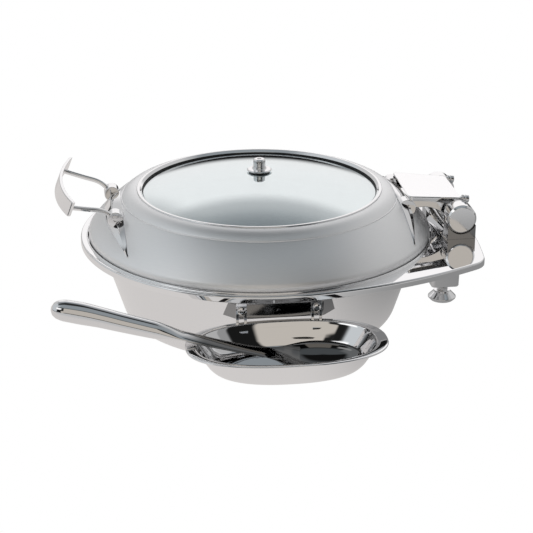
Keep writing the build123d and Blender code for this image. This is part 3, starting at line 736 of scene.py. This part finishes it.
def vent_cap():
    """Small turned knob with a waist, a dimple on top and a steam hole through it."""
    low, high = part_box("vent_cap")
    bore, waist, radius = 5.05 * MM, 7.2 * MM, 7.8 * MM
    roof, hole_z, dimple = low.z + 6 * MM, high.z - 3.4 * MM, 1.2 * MM
    profile = [Vector((0, roof)), Vector((bore, roof))] + rounded(
        [
            (bore, low.z), (radius - 0.4 * MM, low.z), (radius, low.z + 0.8 * MM), (radius, low.z + 2.4 * MM),
            (waist, low.z + 2.8 * MM), (waist, low.z + 3.4 * MM), (radius, low.z + 3.8 * MM),
            (radius, high.z - 1.4 * MM), (6.2 * MM, high.z), (2.6 * MM, high.z), (2.4 * MM, high.z - dimple),
            (0, high.z - dimple),
        ],
        [0.3, 0.4, 0.3, 0.2, 0.2, 0.3, 0.8, 0.8, 0.3, 0.3], steps=3, support=0.1,
    )
    knob = lathe("vent_cap_knob", profile, 72)
    carve(knob, tube("vent_bore", [(-12 * MM, 0, hole_z), (12 * MM, 0, hole_z)], 1.6 * MM, 24, 2))
    place_piece(knob, "vent_knob", POLISHED, "vent_cap")


# ------------------------------------------------------------------ straps, bosses, handle

def lid_height(radius):
    """Height of the lid's outer surface at a distance from the middle."""
    side, crown = lid_profile()
    path = side + crown[1:]
    for a, b in zip(path, path[1:]):
        if b.x <= radius <= a.x:
            return a.y + (b.y - a.y) * (radius - a.x) / (b.x - a.x)
    return path[0].y


def strap(name, node, y_middle, y_tip):
    """Leaf-ended strap on the lid with a ridge along its middle."""
    half_length, half_width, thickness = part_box(node)[1].x, 10 * MM, 3.8 * MM
    buried = 0.6 * MM
    along_steps, across_steps = 96, 12
    loops = []
    for i in range(along_steps + 1):
        t = -1 + 2 * i / along_steps
        x = t * half_length
        y_ridge = y_middle + (y_tip - y_middle) * t * t
        taper = max(0.1, (1 - max(0.0, abs(t) - 0.30) / 0.70) ** 0.8)
        thick = thickness * (0.3 + 0.7 * taper)
        over, under = [], []
        for k in range(across_steps + 1):
            v = 1 - 2 * k / across_steps
            y = y_ridge + v * half_width * taper
            r = hypot(x, y)
            slope = lid_normal(r)
            outward = Vector((x / r * slope.x, y / r * slope.x, slope.y))
            over.append(Vector((x, y, lid_height(r))) + outward * thick * (0.3 + 0.7 * (1 - abs(v))))
            under.append(Vector((x, y, lid_height(r) - buried)))
        loops.append(over + under[::-1])
    leaf = bevelled(skin(name, loops, closed_ends=True, sharp_angle=28), 0.35 * MM, 2)
    place_piece(leaf, "lid", POLISHED, node)


def lid_normal(radius):
    """Outward normal of the lid's surface as (radial, up)."""
    step = 1.5 * MM
    rise = lid_height(radius + step) - lid_height(radius - step)
    return Vector((-rise, 2 * step)).normalized()


def boss(name, centre, radius):
    """Round boss that lies along X, with a shallow recess in its outer end."""
    x, y, z = centre
    half, recess, depth = BOSS_HALF_WIDTH, 4.2 * MM, 2.2 * MM
    profile = rounded(
        [
            (0, -half), (radius, -half), (radius, half),
            (recess, half), (recess - 0.2 * MM, half - depth), (0, half - depth),
        ],
        [1.0, 1.0, 0.4, 0.4], steps=6, support=0.3,
    )
    side = 1 if x > 0 else -1
    return lathe_x(name, [(r, x + side * offset) for r, offset in profile], y, z, 72)


def bosses():
    """Two bosses on each strap, for the handle's rods and for the hinge arms."""
    for name, radius, front in (("handle_boss", 9.8 * MM, -1), ("hinge_boss", 11.5 * MM, 1)):
        low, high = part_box(name + "es")
        x = high.x - BOSS_HALF_WIDTH
        y = high.y - radius if front > 0 else low.y + radius
        z = high.z - radius
        pair = [boss(f"{name}_{tag}", (side * x, y, z), radius) for tag, side in SIDES]
        place_set(pair, "lid", POLISHED, name + "es")


def handle_bar():
    """Flat bar bent to an arc and tilted back, with eased edges."""
    low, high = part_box("handle_bar")
    half, sag, height, thick, tilt = high.x - 0.8 * MM, 14.6 * MM, 19 * MM, 4 * MM, radians(21.5)
    up = Vector((0, sin(tilt), cos(tilt)))
    centre = Vector((0, low.y + thick / 2 + height / 2 * sin(tilt), (low.z + high.z) / 2))
    radius = (half * half + sag * sag) / (2 * sag)
    u, v = thick / 2, height / 2
    corners = [(0, -v), (-u, -v), (-u, v), (u, v), (u, -v), (0, -v)]
    section = rounded(corners, [1.0] * 4, steps=5, support=0.4)[:-1]
    limit = asin(half / radius)
    steps, loops = 80, []
    for k in range(steps + 1):
        angle = -limit + 2 * limit * k / steps
        thinner, lower = (0.86, 0.96) if k in (0, steps) else (1.0, 1.0)
        loop = []
        for u, v in section:
            ring = radius - u * thinner
            loop.append(centre + Vector((ring * sin(angle), radius - ring * cos(angle), 0)) + up * v * lower)
        loops.append(loop)
    grip = skin("handle_bar_grip", loops, closed_ends=True, sharp_angle=35)
    place_piece(grip, "lid", POLISHED, "handle_bar")


def handle_rods():
    """Round rods that climb from the bosses to the ends of the bar."""
    bends = (
        (52, -190, 154), (54.3, -195, 160.4), (57.5, -203.5, 166.2), (63.5, -223, 171.5),
        (70.6, -245.4, 177.4),
    )
    rods = [
        tube(f"handle_rod_{tag}", [(side * x * MM, y * MM, z * MM) for x, y, z in bends], 3 * MM, 32, 12)
        for tag, side in SIDES
    ]
    place_set(rods, "lid", POLISHED, "handle_rods")


# ------------------------------------------------------------------ hinge

def arm_outline():
    """Outline of one hinge arm in (y, z): a strap that widens into a round eye."""
    eye_top, eye_bottom = 149.8, 125.2
    top = [(185, 160.2), (208, 157), (236, 151), (250, eye_top)]
    under = [(241, 126.5), (229, 139), (212, 146), (198, 146), (187, 148)]
    upper, lower = (
        [Vector((p.y, p.z)) for p in smooth_curve([Vector((0, y, z)) * MM for y, z in line], steps)]
        for line, steps in ((top, 10), (under, 8))
    )
    eye = arc_through((HINGE_Y, eye_top * MM), (HINGE_Y + 12.3 * MM, HINGE_Z), (HINGE_Y, eye_bottom * MM), 24)
    return upper + eye[1:] + lower


def hinge_arms():
    """The two arms that carry the lid on the axle."""
    low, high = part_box("hinge_arms")
    starts = (("near", high.x - ARM_THICKNESS), ("far", low.x))
    arms = [
        prism(f"hinge_arm_{tag}", arm_outline(), along_x(start), ARM_THICKNESS, bevel=1.0 * MM, segments=4)
        for tag, start in starts
    ]
    place_set(arms, "lid", POLISHED, "hinge_arms")


def cover_stations(length, corner):
    """Distances along the cover plate, close together at its rounded corners."""
    ends = [corner * k / 8 for k in range(9)]
    middle = [corner + (length - 2 * corner) * k / 40 for k in range(1, 40)]
    return ends + middle + [length - s for s in reversed(ends)]


def cover_section(s, length, corner, sheet):
    """Half-open channel across the cover plate at distance s: flat top and, in front, short skirts."""
    half = 51 * MM - 7.5 * MM * s / length
    near_end = min(s, length - s)
    if near_end < corner:
        half -= corner - sqrt(max(0.0, corner**2 - (corner - near_end) ** 2))
    skirt = 4.4 * MM * min(1.0, max(0.0, (0.62 * length - s) / (6 * MM))) * min(1.0, s / corner) ** 0.5
    drop = sheet + skirt
    corners = [(-half, -drop), (-half, 0), (half, 0), (half, -drop)]
    outside = rounded(corners, [1.5, 1.5], steps=5, support=0.8)
    inner = half - sheet
    return outside + [Vector(p) for p in ((inner, -drop), (inner, -sheet), (-inner, -sheet), (-inner, -drop))]


def cover_plate():
    """Plate over the hinge, screwed to the arms."""
    run = COVER_REAR - COVER_FRONT
    length, forward = run.length, run.normalized()
    up = Vector((0, -forward.z, forward.y))
    corner, sheet = 5 * MM, 1.6 * MM
    loops = [
        [COVER_FRONT + forward * s + X_AXIS * u + up * v for u, v in cover_section(s, length, corner, sheet)]
        for s in cover_stations(length, corner)
    ]
    plate = skin("cover_plate_sheet", loops, closed_ends=True, sharp_angle=50)
    weighted_normals(plate)
    place_piece(plate, "lid", PLATE, "cover_plate")


def cover_lugs():
    """Blocks under the cover plate's rear corners that take the stop bolts."""
    corners = ((244, 158.6), (254.4, 157.6), (254.4, 153.4), (247, 153.4), (244, 156))
    outline = [Vector(corner) * MM for corner in corners]
    for tag, start in (("near", 37 * MM), ("far", -43.4 * MM)):
        lug = prism(f"cover_lug_{tag}", outline, along_x(start), 6.4 * MM, bevel=0.5 * MM)
        place_piece(lug, "lid", POLISHED)


def stop_bolts():
    """Two bolts with grooved heads at the rear of the cover plate."""
    low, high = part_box("stop_bolts")
    direction = Vector((0, 1, -0.12)).normalized()
    stem, head, groove = 2.2, 5, 4.3
    profile = rounded(
        [
            Vector(p) * MM for p in (
                (0, 0), (stem, 0), (stem, 2.1), (head, 2.1), (head, 4.2), (groove, 4.8), (groove, 5.6),
                (head, 6.2), (head, 10.8), (2.4, 10.8), (stem, 9.6), (0, 9.6),
            )
        ],
        [0, 0, 0.7, 0.3, 0.2, 0.2, 0.3, 1.2, 0.3, 0.2], steps=4, support=0.1,
    )
    across = direction.orthogonal().normalized()
    bolts = []
    for tag, x in (("near", high.x - head * MM), ("far", low.x + head * MM)):
        foot = Vector((x, 254.4 * MM, 155.8 * MM))
        bolts.append(turn(f"stop_bolt_{tag}", profile, foot, direction, across, 48))
    place_set(bolts, "lid", POLISHED, "stop_bolts")


def end_caps():
    """Round caps over the axle's ends, each with a fine groove near its inner edge."""
    length, groove, chamfer, blind = CAP_LENGTH, 0.5 * MM, 2.6 * MM, 8 * MM
    profile = rounded(
        [
            (AXLE_RADIUS, 0), (CAP_RADIUS, 0), (CAP_RADIUS, 2.6 * MM), (CAP_RADIUS - groove, 3.0 * MM),
            (CAP_RADIUS, 3.4 * MM), (CAP_RADIUS, length - chamfer), (CAP_RADIUS - chamfer, length),
            (0, length), (0, length - blind), (AXLE_RADIUS, length - blind),
        ],
        [0.8, 0.2, 0, 0.2, 1.0, 1.0, 0, 0], steps=5, support=0.3,
    )
    caps = []
    for tag, side in SIDES:
        mirrored = [(r, side * (CAP_HIGH.x - length + offset)) for r, offset in profile]
        caps.append(weighted_normals(lathe_x(f"end_cap_{tag}", mirrored, HINGE_Y, HINGE_Z, 128)))
    place_set(caps, "base", CAP_STEEL, "hinge_end_caps")


def collars():
    """Stepped rings on the axle between the arms and the caps."""
    end, start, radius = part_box("hinge_collars")[1].x, 41.15 * MM, 13 * MM
    waist, shoulder = radius - 1.6 * MM, radius + 1 * MM
    profile = rounded(
        [
            (AXLE_RADIUS, start), (radius, start), (radius, start + 3 * MM), (waist, start + 3.2 * MM),
            (waist, start + 3.9 * MM), (shoulder, start + 4.1 * MM), (shoulder, end), (AXLE_RADIUS, end),
        ],
        [1.2, 0.9, 0.2, 0.2, 1.0, 0.6], steps=5, support=0.1,
    )
    rings = [
        lathe_x(f"hinge_collar_{tag}", [(r, side * x) for r, x in profile], HINGE_Y, HINGE_Z, 96)
        for tag, side in SIDES
    ]
    place_set(rings, "base", POLISHED, "hinge_collars")


def pedestals():
    """Blocks on the frame with a round saddle for each end cap."""
    low, high = PEDESTAL_LOW, PEDESTAL_HIGH
    half, saddle, steps = (high.y - low.y) / 2, CAP_RADIUS + 0.1 * MM, 32
    reach = sqrt(saddle**2 - (HINGE_Z - high.z) ** 2)
    limit = atan2(HINGE_Z - high.z, reach)
    outline = [(HINGE_Y - half, low.z), (HINGE_Y + half, low.z), (HINGE_Y + half, high.z)]
    for k in range(steps + 1):
        angle = -limit - (pi - 2 * limit) * k / steps
        outline.append((HINGE_Y + saddle * cos(angle), HINGE_Z + saddle * sin(angle)))
    outline.append((HINGE_Y - half, high.z))
    blocks = [
        prism(f"hinge_pedestal_{tag}", outline, along_x(start), CAP_LENGTH, bevel=0.8 * MM, segments=4)
        for tag, start in (("near", high.x - CAP_LENGTH), ("far", low.x))
    ]
    # the pedestals take the darkened steel: painted shade
    place_set(blocks, "base", SHADED_STEEL, "hinge_pedestals")


def slot_cutter(x, centre, tilt, length, height, depth):
    """Round-ended bar that cuts a slot through a sheet tilted about X."""
    radius, steps = height / 2, 32
    outline = []
    for k in range(steps + 1):
        angle = -pi / 2 + pi * k / steps
        outline.append((length / 2 - radius + radius * cos(angle), radius * sin(angle)))
    outline += [(-u, -v) for u, v in outline]
    along = Vector((0, cos(tilt), sin(tilt)))
    out = Vector((0, -sin(tilt), cos(tilt)))
    return prism(
        "slot_cutter", outline,
        lambda u, v, w: Vector((x + u, *centre)) + along * v + out * (w - depth / 2), depth, bevel=0,
    )


def spring_anchor():
    """Bent plate under the springs, with two slots in its sloping part."""
    sheet, half_width = 2 * MM, 32 * MM
    slope_top, slope_foot = Vector((218 * MM, 131 * MM)), Vector((236.5 * MM, PLATE_TOP))
    bend = rounded([slope_top, slope_foot, (262 * MM, PLATE_TOP)], [5], steps=8, support=0)
    upper = [p + Vector((-ahead.y, ahead.x)) * sheet for p, ahead in zip(bend, headings(bend))]
    plate = prism("spring_anchor_plate", bend + upper[::-1], along_x(-half_width), 2 * half_width, bevel=0)
    middle = (226.5 * MM, 123.5 * MM)
    tilt = atan2(*(slope_foot - slope_top).yx)
    carve(plate, *[slot_cutter(side * 19 * MM, middle, tilt, 15 * MM, 6 * MM, 16 * MM) for side in (-1, 1)])
    bevelled(plate, 0.5 * MM)
    place_piece(plate, "base", MIRROR, "spring_anchor")


def bar_along_x(name, ends, y, z, radius):
    """Straight round rod between two x positions."""
    return tube(name, [(x, y, z) for x in ends], radius, 32, 2)


def rods():
    """The two rods that tie the hinge arms together and the rod that holds the springs' tails."""
    low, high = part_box("cross_rods")
    pair = [
        bar_along_x(f"cross_rod_{tag}", (low.x, high.x), y * MM, z * MM, 2.4 * MM)
        for tag, y, z in (("upper", 213, 151), ("lower", 229, 147))
    ]
    place_set(pair, "lid", POLISHED, "cross_rods")
    low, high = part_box("spring_rod")
    middle = (low + high) / 2
    rod = bar_along_x("spring_rod_bar", (low.x, high.x), middle.y, middle.z, 2.2 * MM)
    place_piece(rod, "base", POLISHED, "spring_rod")


# ------------------------------------------------------------------ food pan

def food_pan():
    """Deep round pan that hangs by its flat rim."""
    low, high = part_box("food_pan")
    sheet = 1 * MM
    corners = [(0, low.z), (168 * MM, low.z), (198.5 * MM, high.z - sheet), (high.x, high.z - sheet)]
    path = rounded(corners, [24, 2], steps=14)
    inside = [Vector((max(0, p.x - 0.5 * sheet), p.y + 0.86 * sheet)) for p in reversed(path[:-1])]
    profile = path + [Vector((high.x, high.z))] + inside
    place_piece(lathe("food_pan_insert", profile, 192), "food_pan", SATIN_INSIDE, "food_pan")


# ------------------------------------------------------------------ spoon dish

def oval_loop(half_x, half_y, z, centre, fullness=2.4, count=144):
    """Closed loop between an ellipse and a rectangle."""
    loop = []
    for k in range(count):
        angle = 2 * pi * k / count
        x, y = (copysign(abs(share) ** (2 / fullness), share) for share in (cos(angle), sin(angle)))
        loop.append(Vector((centre.x + half_x * x, centre.y + half_y * y, z)))
    return loop


def spoon_dish():
    """Long oval dish: flat floor, flared wall and a flat lip with a rolled edge."""
    low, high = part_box("spoon_dish")
    bead = 2 * MM
    centre = (low + high) / 2
    rim_x, rim_y = high.x - centre.x - bead, high.y - centre.y - bead
    floor, rim = low.z, high.z - 1.2 * MM
    # share of the rim's half width and half length, and height as a share of the depth
    wall = smooth_curve([
        (0.50, 0.45, 0), (0.59, 0.535, 0.01), (0.66, 0.605, 0.04), (0.72, 0.668, 0.085),
        (0.775, 0.727, 0.16), (0.822, 0.780, 0.31), (0.862, 0.823, 0.52), (0.90, 0.866, 0.76),
        (0.926, 0.897, 0.94), (0.94, 0.91, 1.0),
    ], 5)
    depth = rim - floor
    sheet, roll = 1.1 * MM, 1.25 * MM

    def level(fx, fy, z, grow=0.0):
        return oval_loop(rim_x * fx + grow, rim_y * fy + grow, z, centre)

    loops = [level(0.02, 0.02, floor), level(0.3, 0.27, floor)]
    loops += [level(fx, fy, floor + (depth - sheet) * h) for fx, fy, h in wall]
    loops += [level(0.96, 0.935, rim - sheet), level(1, 1, rim - sheet * 0.9, bead - 2.4 * roll)]
    for k in range(13):
        angle = -pi * 0.62 + pi * 1.12 * k / 12
        out, rise = roll * cos(angle), roll * sin(angle)
        loops.append(level(1, 1, high.z - roll + rise, bead - roll + out))
    loops += [level(1, 1, high.z - 0.02 * MM, bead - 2 * roll), level(0.965, 0.945, high.z - 0.1 * MM)]
    loops.append(level(0.95, 0.922, high.z - 0.25 * MM))
    for fx, fy, h in reversed(wall):
        loops.append(level(fx, fy, floor + sheet * (1 - h) + (depth + 0.5 * MM) * h, -sheet))
    loops += [level(0.3, 0.27, floor + sheet), level(0.02, 0.02, floor + sheet)]
    dish = skin("spoon_dish_bowl", loops, closed_ends=True, sharp_angle=60)
    place_piece(dish, "spoon_dish", DISH_STEEL, "spoon_dish")


def dish_bracket():
    """Thin plate that leans out from the bowl, with a wing at each end running back to the wall."""
    low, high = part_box("dish_bracket")
    middle, height = (low.y + high.y) / 2, high.z - low.z
    lean, sheet = tan(radians(7)), 1.2 * MM
    foot = high.x - height * lean - sheet / 2
    half, wing_half, wing_x = 51 * MM, 67.5 * MM, foot - 17.5 * MM
    bends = [(wing_x, -wing_half), (foot, -half), (foot, half), (wing_x, wing_half)]
    path = rounded([(x, middle + y) for x, y in bends], [6, 6], steps=8)
    front, back = [], []
    for point, ahead in zip(path, headings(path)):
        out = Vector((ahead.y, -ahead.x)) * sheet / 2
        front.append(point + out)
        back.append(point - out)
    plate = prism(
        "dish_bracket_plate", front + back[::-1],
        lambda u, v, w: Vector((u + w * lean, v, low.z + w)), height, bevel=0.25 * MM,
    )
    # the bracket takes the darkened steel: painted shade
    place_piece(plate, "base", SHADED_STEEL, "dish_bracket")


def bracket_studs():
    """The two headed studs that the dish hangs on."""
    low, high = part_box("bracket_studs")
    shaft, head = 3 * MM, 5 * MM
    shoulder = high.x - 2.5 * MM
    profile = rounded(
        [
            (0, low.x), (shaft, low.x), (shaft, shoulder), (head, shoulder),
            (head - 0.2 * MM, high.x - 0.8 * MM), (2.6 * MM, high.x), (0, high.x),
        ],
        [0, 0.2, 0.3, 0.8, 0.8], steps=5, support=0.1,
    )
    studs = [
        lathe_x(f"bracket_stud_{tag}", profile, y, (low.z + high.z) / 2, 48)
        for tag, y in (("left", low.y + head), ("right", high.y - head))
    ]
    place_set(studs, "base", POLISHED, "bracket_studs")


def quarter(centre, radius, start, steps=8):
    """Points on a quarter circle that begins at angle start."""
    angles = [start + pi / 2 * k / steps for k in range(steps + 1)]
    return [(centre[0] + radius * cos(angle), centre[1] + radius * sin(angle)) for angle in angles]


def lug_outline(y, low, high, half, stud_z):
    """Upright lug in (y, z): rounded on top, with a slot from below that ends round the stud."""
    corner, slot, steps = 3 * MM, 3.05 * MM, 16
    outline = [(y - half, low.z), (y - slot, low.z)]
    for k in range(steps + 1):
        angle = pi - pi * k / steps
        outline.append((y + slot * cos(angle), stud_z + slot * sin(angle)))
    outline += [(y + slot, low.z), (y + half, low.z)]
    outline += quarter((y + half - corner, high.z - corner), corner, 0)
    return outline + quarter((y - half + corner, high.z - corner), corner, pi / 2)


def dish_hooks():
    """Flat lugs that drop over the studs, each on a small tab that joins it to the dish."""
    low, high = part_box("dish_hooks")
    stud_z = sum(corner.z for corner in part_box("bracket_studs")) / 2
    half, sheet = 6.5 * MM, 2 * MM
    places = (("left", low.y + half), ("right", high.y - half))
    lugs = []
    for tag, y in places:
        outline = lug_outline(y, low, high, half, stud_z)
        lugs.append(prism(f"dish_lug_{tag}", outline, along_x(low.x), sheet, bevel=0.3 * MM))
    place_set(lugs, "spoon_dish", POLISHED, "dish_hooks")
    for tag, y in places:
        shelf = [(y - half, low.z), (y + half, low.z), (y + half, low.z + sheet), (y - half, low.z + sheet)]
        tab = prism(f"dish_tab_{tag}", shelf, along_x(low.x + sheet), high.x - low.x - sheet, bevel=0.2 * MM)
        place_piece(tab, "spoon_dish", POLISHED)


# ------------------------------------------------------------------ spoon

SPOON_CENTRE = Vector((279.5, 35, 56.8)) * MM
SPOON_SKEW, SPOON_ROLL = 0.16, radians(10)
SPOON_ALONG = Vector((SPOON_SKEW, 1, -0.02)).normalized()
SPOON_UP = Vector((tan(SPOON_ROLL), 0.02 - SPOON_SKEW * tan(SPOON_ROLL), 1)).normalized()
SPOON_SIDE = SPOON_ALONG.cross(SPOON_UP).normalized()


def spoon_section(centre, wide, upper, lower, up, side, power=1.0, half_points=24):
    """Closed loop: over the top edge to edge, then back along the underside."""
    loop = []
    for k in range(2 * half_points):
        angle = pi * k / half_points
        rise = upper * sin(angle) ** power if k <= half_points else lower * sin(angle - pi) ** power
        loop.append(centre + side * wide * cos(angle) + up * rise)
    return loop


def spoon_bowl_loops(steps=44):
    """Sections of the oval bowl from its tip back to where the neck begins."""
    half_length, half_width, depth, sheet = 48 * MM, 31 * MM, 17 * MM, 1.4 * MM
    loops = []
    for k in range(steps):
        t = cos(pi * (k + 0.35) / (steps * 1.08))
        if t < -0.3:
            break
        share = sqrt(1 - t * t) ** (0.86 if t > 0 else 1.0)
        below = depth * share**1.15
        above = below - sheet * min(1, share * 3)
        centre = SPOON_CENTRE + SPOON_ALONG * half_length * t
        loops.append(spoon_section(centre, half_width * share, -above, -below, SPOON_UP, SPOON_SIDE))
    return loops


def spoon_handle_loops():
    """Sections of the neck and the grip, from the bowl to the end."""
    # y and z of the middle, half width, height above and below it, squareness of the section
    stations = [
        (12, 56.9, 27.6, -12.8, -14.2, 1.0), (2, 57.2, 23.0, -8.6, -10.2, 1.0),
        (-7, 57.9, 17.8, -4.6, -6.2, 1.0), (-16, 59.0, 13.2, -1.8, -3.4, 0.9),
        (-27, 60.5, 10.2, 0.2, -1.8, 0.6), (-41, 62.3, 8.8, 0.9, -1.4, 0.4),
        (-66, 66.9, 8.6, 1.2, -1.6, 0.4), (-94, 73.0, 9.0, 2.0, -2.2, 0.5),
        (-119, 79.1, 9.6, 3.0, -3.0, 0.8), (-136, 83.0, 10.4, 7.0, -6.4, 1.0),
        (-152, 86.4, 11.2, 10.2, -9.4, 1.0),
        (-192, 95.8, 11.8, 11.4, -10.6, 1.0), (-214, 101.5, 12.4, 12.0, -11.4, 1.0),
        (-237, 106.6, 13.2, 13.0, -12.6, 1.0), (-254, 109.8, 12.8, 12.4, -12.4, 1.0),
        (-262, 111.0, 11.0, 10.6, -10.6, 1.0), (-267, 111.8, 7.6, 7.2, -7.2, 1.0),
        (-269.4, 112.2, 2.6, 2.4, -2.4, 1.0),
    ]
    line = []
    for y, z, *size in stations:
        line.append(Vector((SPOON_CENTRE.x + SPOON_SKEW * (y * MM - SPOON_CENTRE.y), y * MM, z * MM)))
    places = smooth_curve(line, 8)
    sizes = smooth_curve([Vector(size) for y, z, *size in stations], 8)
    loops = []
    for place, heading, (wide, upper, lower, power) in zip(places, headings(places), sizes):
        ahead = -heading
        across = (SPOON_SIDE - ahead * SPOON_SIDE.dot(ahead)).normalized()
        lift = across.cross(ahead).normalized()
        loops.append(spoon_section(place, wide * MM, upper * MM, lower * MM, lift, across, power))
    return loops


def spoon():
    """Deep serving spoon in one run from the bowl's tip through a flat neck to a full round grip."""
    body = skin("serving_spoon", spoon_bowl_loops() + spoon_handle_loops(), closed_ends=True, sharp_angle=60)
    place_piece(body, "spoon", SPOON_STEEL, "spoon_bowl", "spoon_handle")


# ------------------------------------------------------------------ small nodes kept from the frame

def dress_kept_nodes():
    """Materials for the small pieces whose frame geometry is shown as it is."""
    looks = {
        POLISHED: ("boss_screws", "bracket_screw"),
        SATIN: ("induction_disc", "hinge_axle", "hinge_base_screws", "vent_stem", "vent_nut", "foot_stem"),
        SPRING: ("torsion_springs",),
        BLACK: ("vent_seal",),
        CLEAR: ("lid_bumpers",),
    }
    for material, names in looks.items():
        for name in names:
            obj = bpy.data.objects[name]
            obj.data.materials.clear()
            obj.data.materials.append(material)


# ------------------------------------------------------------------ studio

def camera():
    """Long lens from the spoon's side, a little above the lid."""
    data = bpy.data.cameras.new("camera")
    data.lens = 107.5
    data.sensor_width = 36
    obj = bpy.data.objects.new("camera", data)
    bpy.context.scene.collection.objects.link(obj)
    obj.location = (1.9196, -0.2465, 0.8233)
    aim = Vector((0.0012, 0.0091, 0.0593))
    obj.rotation_euler = (aim - obj.location).to_track_quat("-Z", "Y").to_euler()
    bpy.context.scene.camera = obj


def window_mask(tree, value, low, high, soft):
    """1 between low and high, with soft edges."""
    rise = smooth_step(tree, value, low - soft, low + soft)
    return math_node(tree, "MULTIPLY", rise, smooth_step(tree, value, high + soft, high - soft))


def white_to_camera(tree, colour):
    """White where the camera looks at it, colour where the steel and the glass reflect it."""
    seen = tree.nodes.new("ShaderNodeLightPath").outputs["Is Camera Ray"]
    return mixed(tree, seen, colour, grey(1.0))


def floor():
    """Pale floor that glows plain white to the camera; in the steel's reflections it carries painted shade,
    darker to the right, a mid grey in front and near black behind.
    """
    size, drop = 5.0, 0.0002
    corners = [(-size, -size, -drop), (size, -size, -drop), (size, size, -drop), (-size, size, -drop)]
    obj = new_object("floor", corners, [(0, 1, 2, 3)])
    material, tree, shader = nodes_of("floor_paper")
    x, y = split_axes(tree)[:2]
    # painted shade in the floor as the steel reflects it: masks for the right side, the front and the area
    # behind
    right = smooth_step(tree, y, 0.0, 0.3)
    front = smooth_step(tree, x, 0.33, 0.6)
    shade_behind = math_node(tree, "MULTIPLY", smooth_step(tree, x, -0.45, -1.1), smooth_step(tree, y, -0.5, -0.2))
    shaded_paper = mixed(tree, right, (0.69, 0.665, 0.65), grey(0.28))
    shaded_paper = mixed(tree, front, shaded_paper, grey(0.58))
    shaded_paper = mixed(tree, shade_behind, shaded_paper, grey(0.015))
    shader.inputs["Base Color"].default_value = (0, 0, 0, 1)
    shader.inputs["Specular IOR Level"].default_value = 0
    shader.inputs["Emission Strength"].default_value = 1.0
    tree.links.new(white_to_camera(tree, shaded_paper), shader.inputs["Emission Color"])
    obj.data.materials.append(material)


def world():
    """Studio seen as reflections in the steel: soft panels by compass angle and height, dark gaps between."""
    scene = bpy.context.scene
    scene.world = bpy.data.worlds.new("studio")
    scene.world.use_nodes = True
    tree = scene.world.node_tree
    background = tree.nodes["Background"]
    x, y, z = split_axes(tree, "Generated")
    height = math_node(tree, "DEGREES", math_node(tree, "ARCSINE", z))
    front = math_node(tree, "DEGREES", math_node(tree, "ARCTAN2", y, x))
    rear = math_node(tree, "DEGREES", math_node(tree, "ARCTAN2", y, math_node(tree, "MULTIPLY", x, -1.0)))
    # angle used, its range, height range, softness of the edges, colour
    panels = (
        (front, -100, 100, 52, 91, 8, (0.29, 0.32, 0.34)),
        (rear, -100, 100, 42, 62, 6, (0.34, 0.36, 0.38)),
        (rear, 28, 95, 3, 50, 6, grey(0.60)),
        (rear, -52, -8, 3, 42, 5, grey(0.60)),
        (rear, -14, 34, 2, 48, 8, (0.62, 0.62, 0.63)),
        (rear, -12, 32, 2, 39, 4, (1.04, 1.02, 1.02)),
        (front, -135, -57, 2, 62, 6, (0.60, 0.63, 0.65)),
        (front, 60, 92, 2, 50, 5, grey(0.46)),
        (front, 46, 62, -90, 50, 3, grey(0.30)),
        (front, 19, 46, -90, 50, 3, grey(0.01)),
        (front, -78, -38, 29, 44, 4, grey(1.25)),
        (front, -50, -36, -90, 29, 3, grey(0.012)),
        (front, -36, -24, 19, 29, 3, grey(0.012)),
        (front, -36, 19, -90, 19, 2, (0.56, 0.52, 0.47)),
        (front, -24, 19, 17, 48, 2, (0.56, 0.52, 0.47)),
        (front, -24, 24, -90, 4, 3, grey(0.01)),
    )
    colour = grey(0.03)
    for angle, left, right, low, high, soft, tone in panels:
        across = window_mask(tree, angle, left, right, soft)
        upright = window_mask(tree, height, low, high, soft)
        colour = mixed(tree, math_node(tree, "MULTIPLY", across, upright), colour, tone)
    tree.links.new(white_to_camera(tree, colour), background.inputs["Color"])
    background.inputs["Strength"].default_value = 1.0


def look():
    """Plain colours, without a film curve."""
    scene = bpy.context.scene
    scene.view_settings.view_transform = "Standard"
    scene.view_settings.look = "None"
    scene.view_settings.exposure = 0.0


bowl()
rim_frame()
support_post()
levelling_foot()
lid_shell()
window_ring()
lid_glass()
glass_seal()
vent_flange()
vent_cap()
strap("handle_strap_leaf", "handle_strap", -187 * MM, -176 * MM)
strap("hinge_strap_leaf", "hinge_strap", 180.5 * MM, 178 * MM)
bosses()
handle_bar()
handle_rods()
hinge_arms()
cover_plate()
cover_lugs()
stop_bolts()
end_caps()
collars()
pedestals()
spring_anchor()
rods()
food_pan()
spoon_dish()
dish_bracket()
bracket_studs()
dish_hooks()
spoon()
dress_kept_nodes()
camera()
floor()
world()
look()
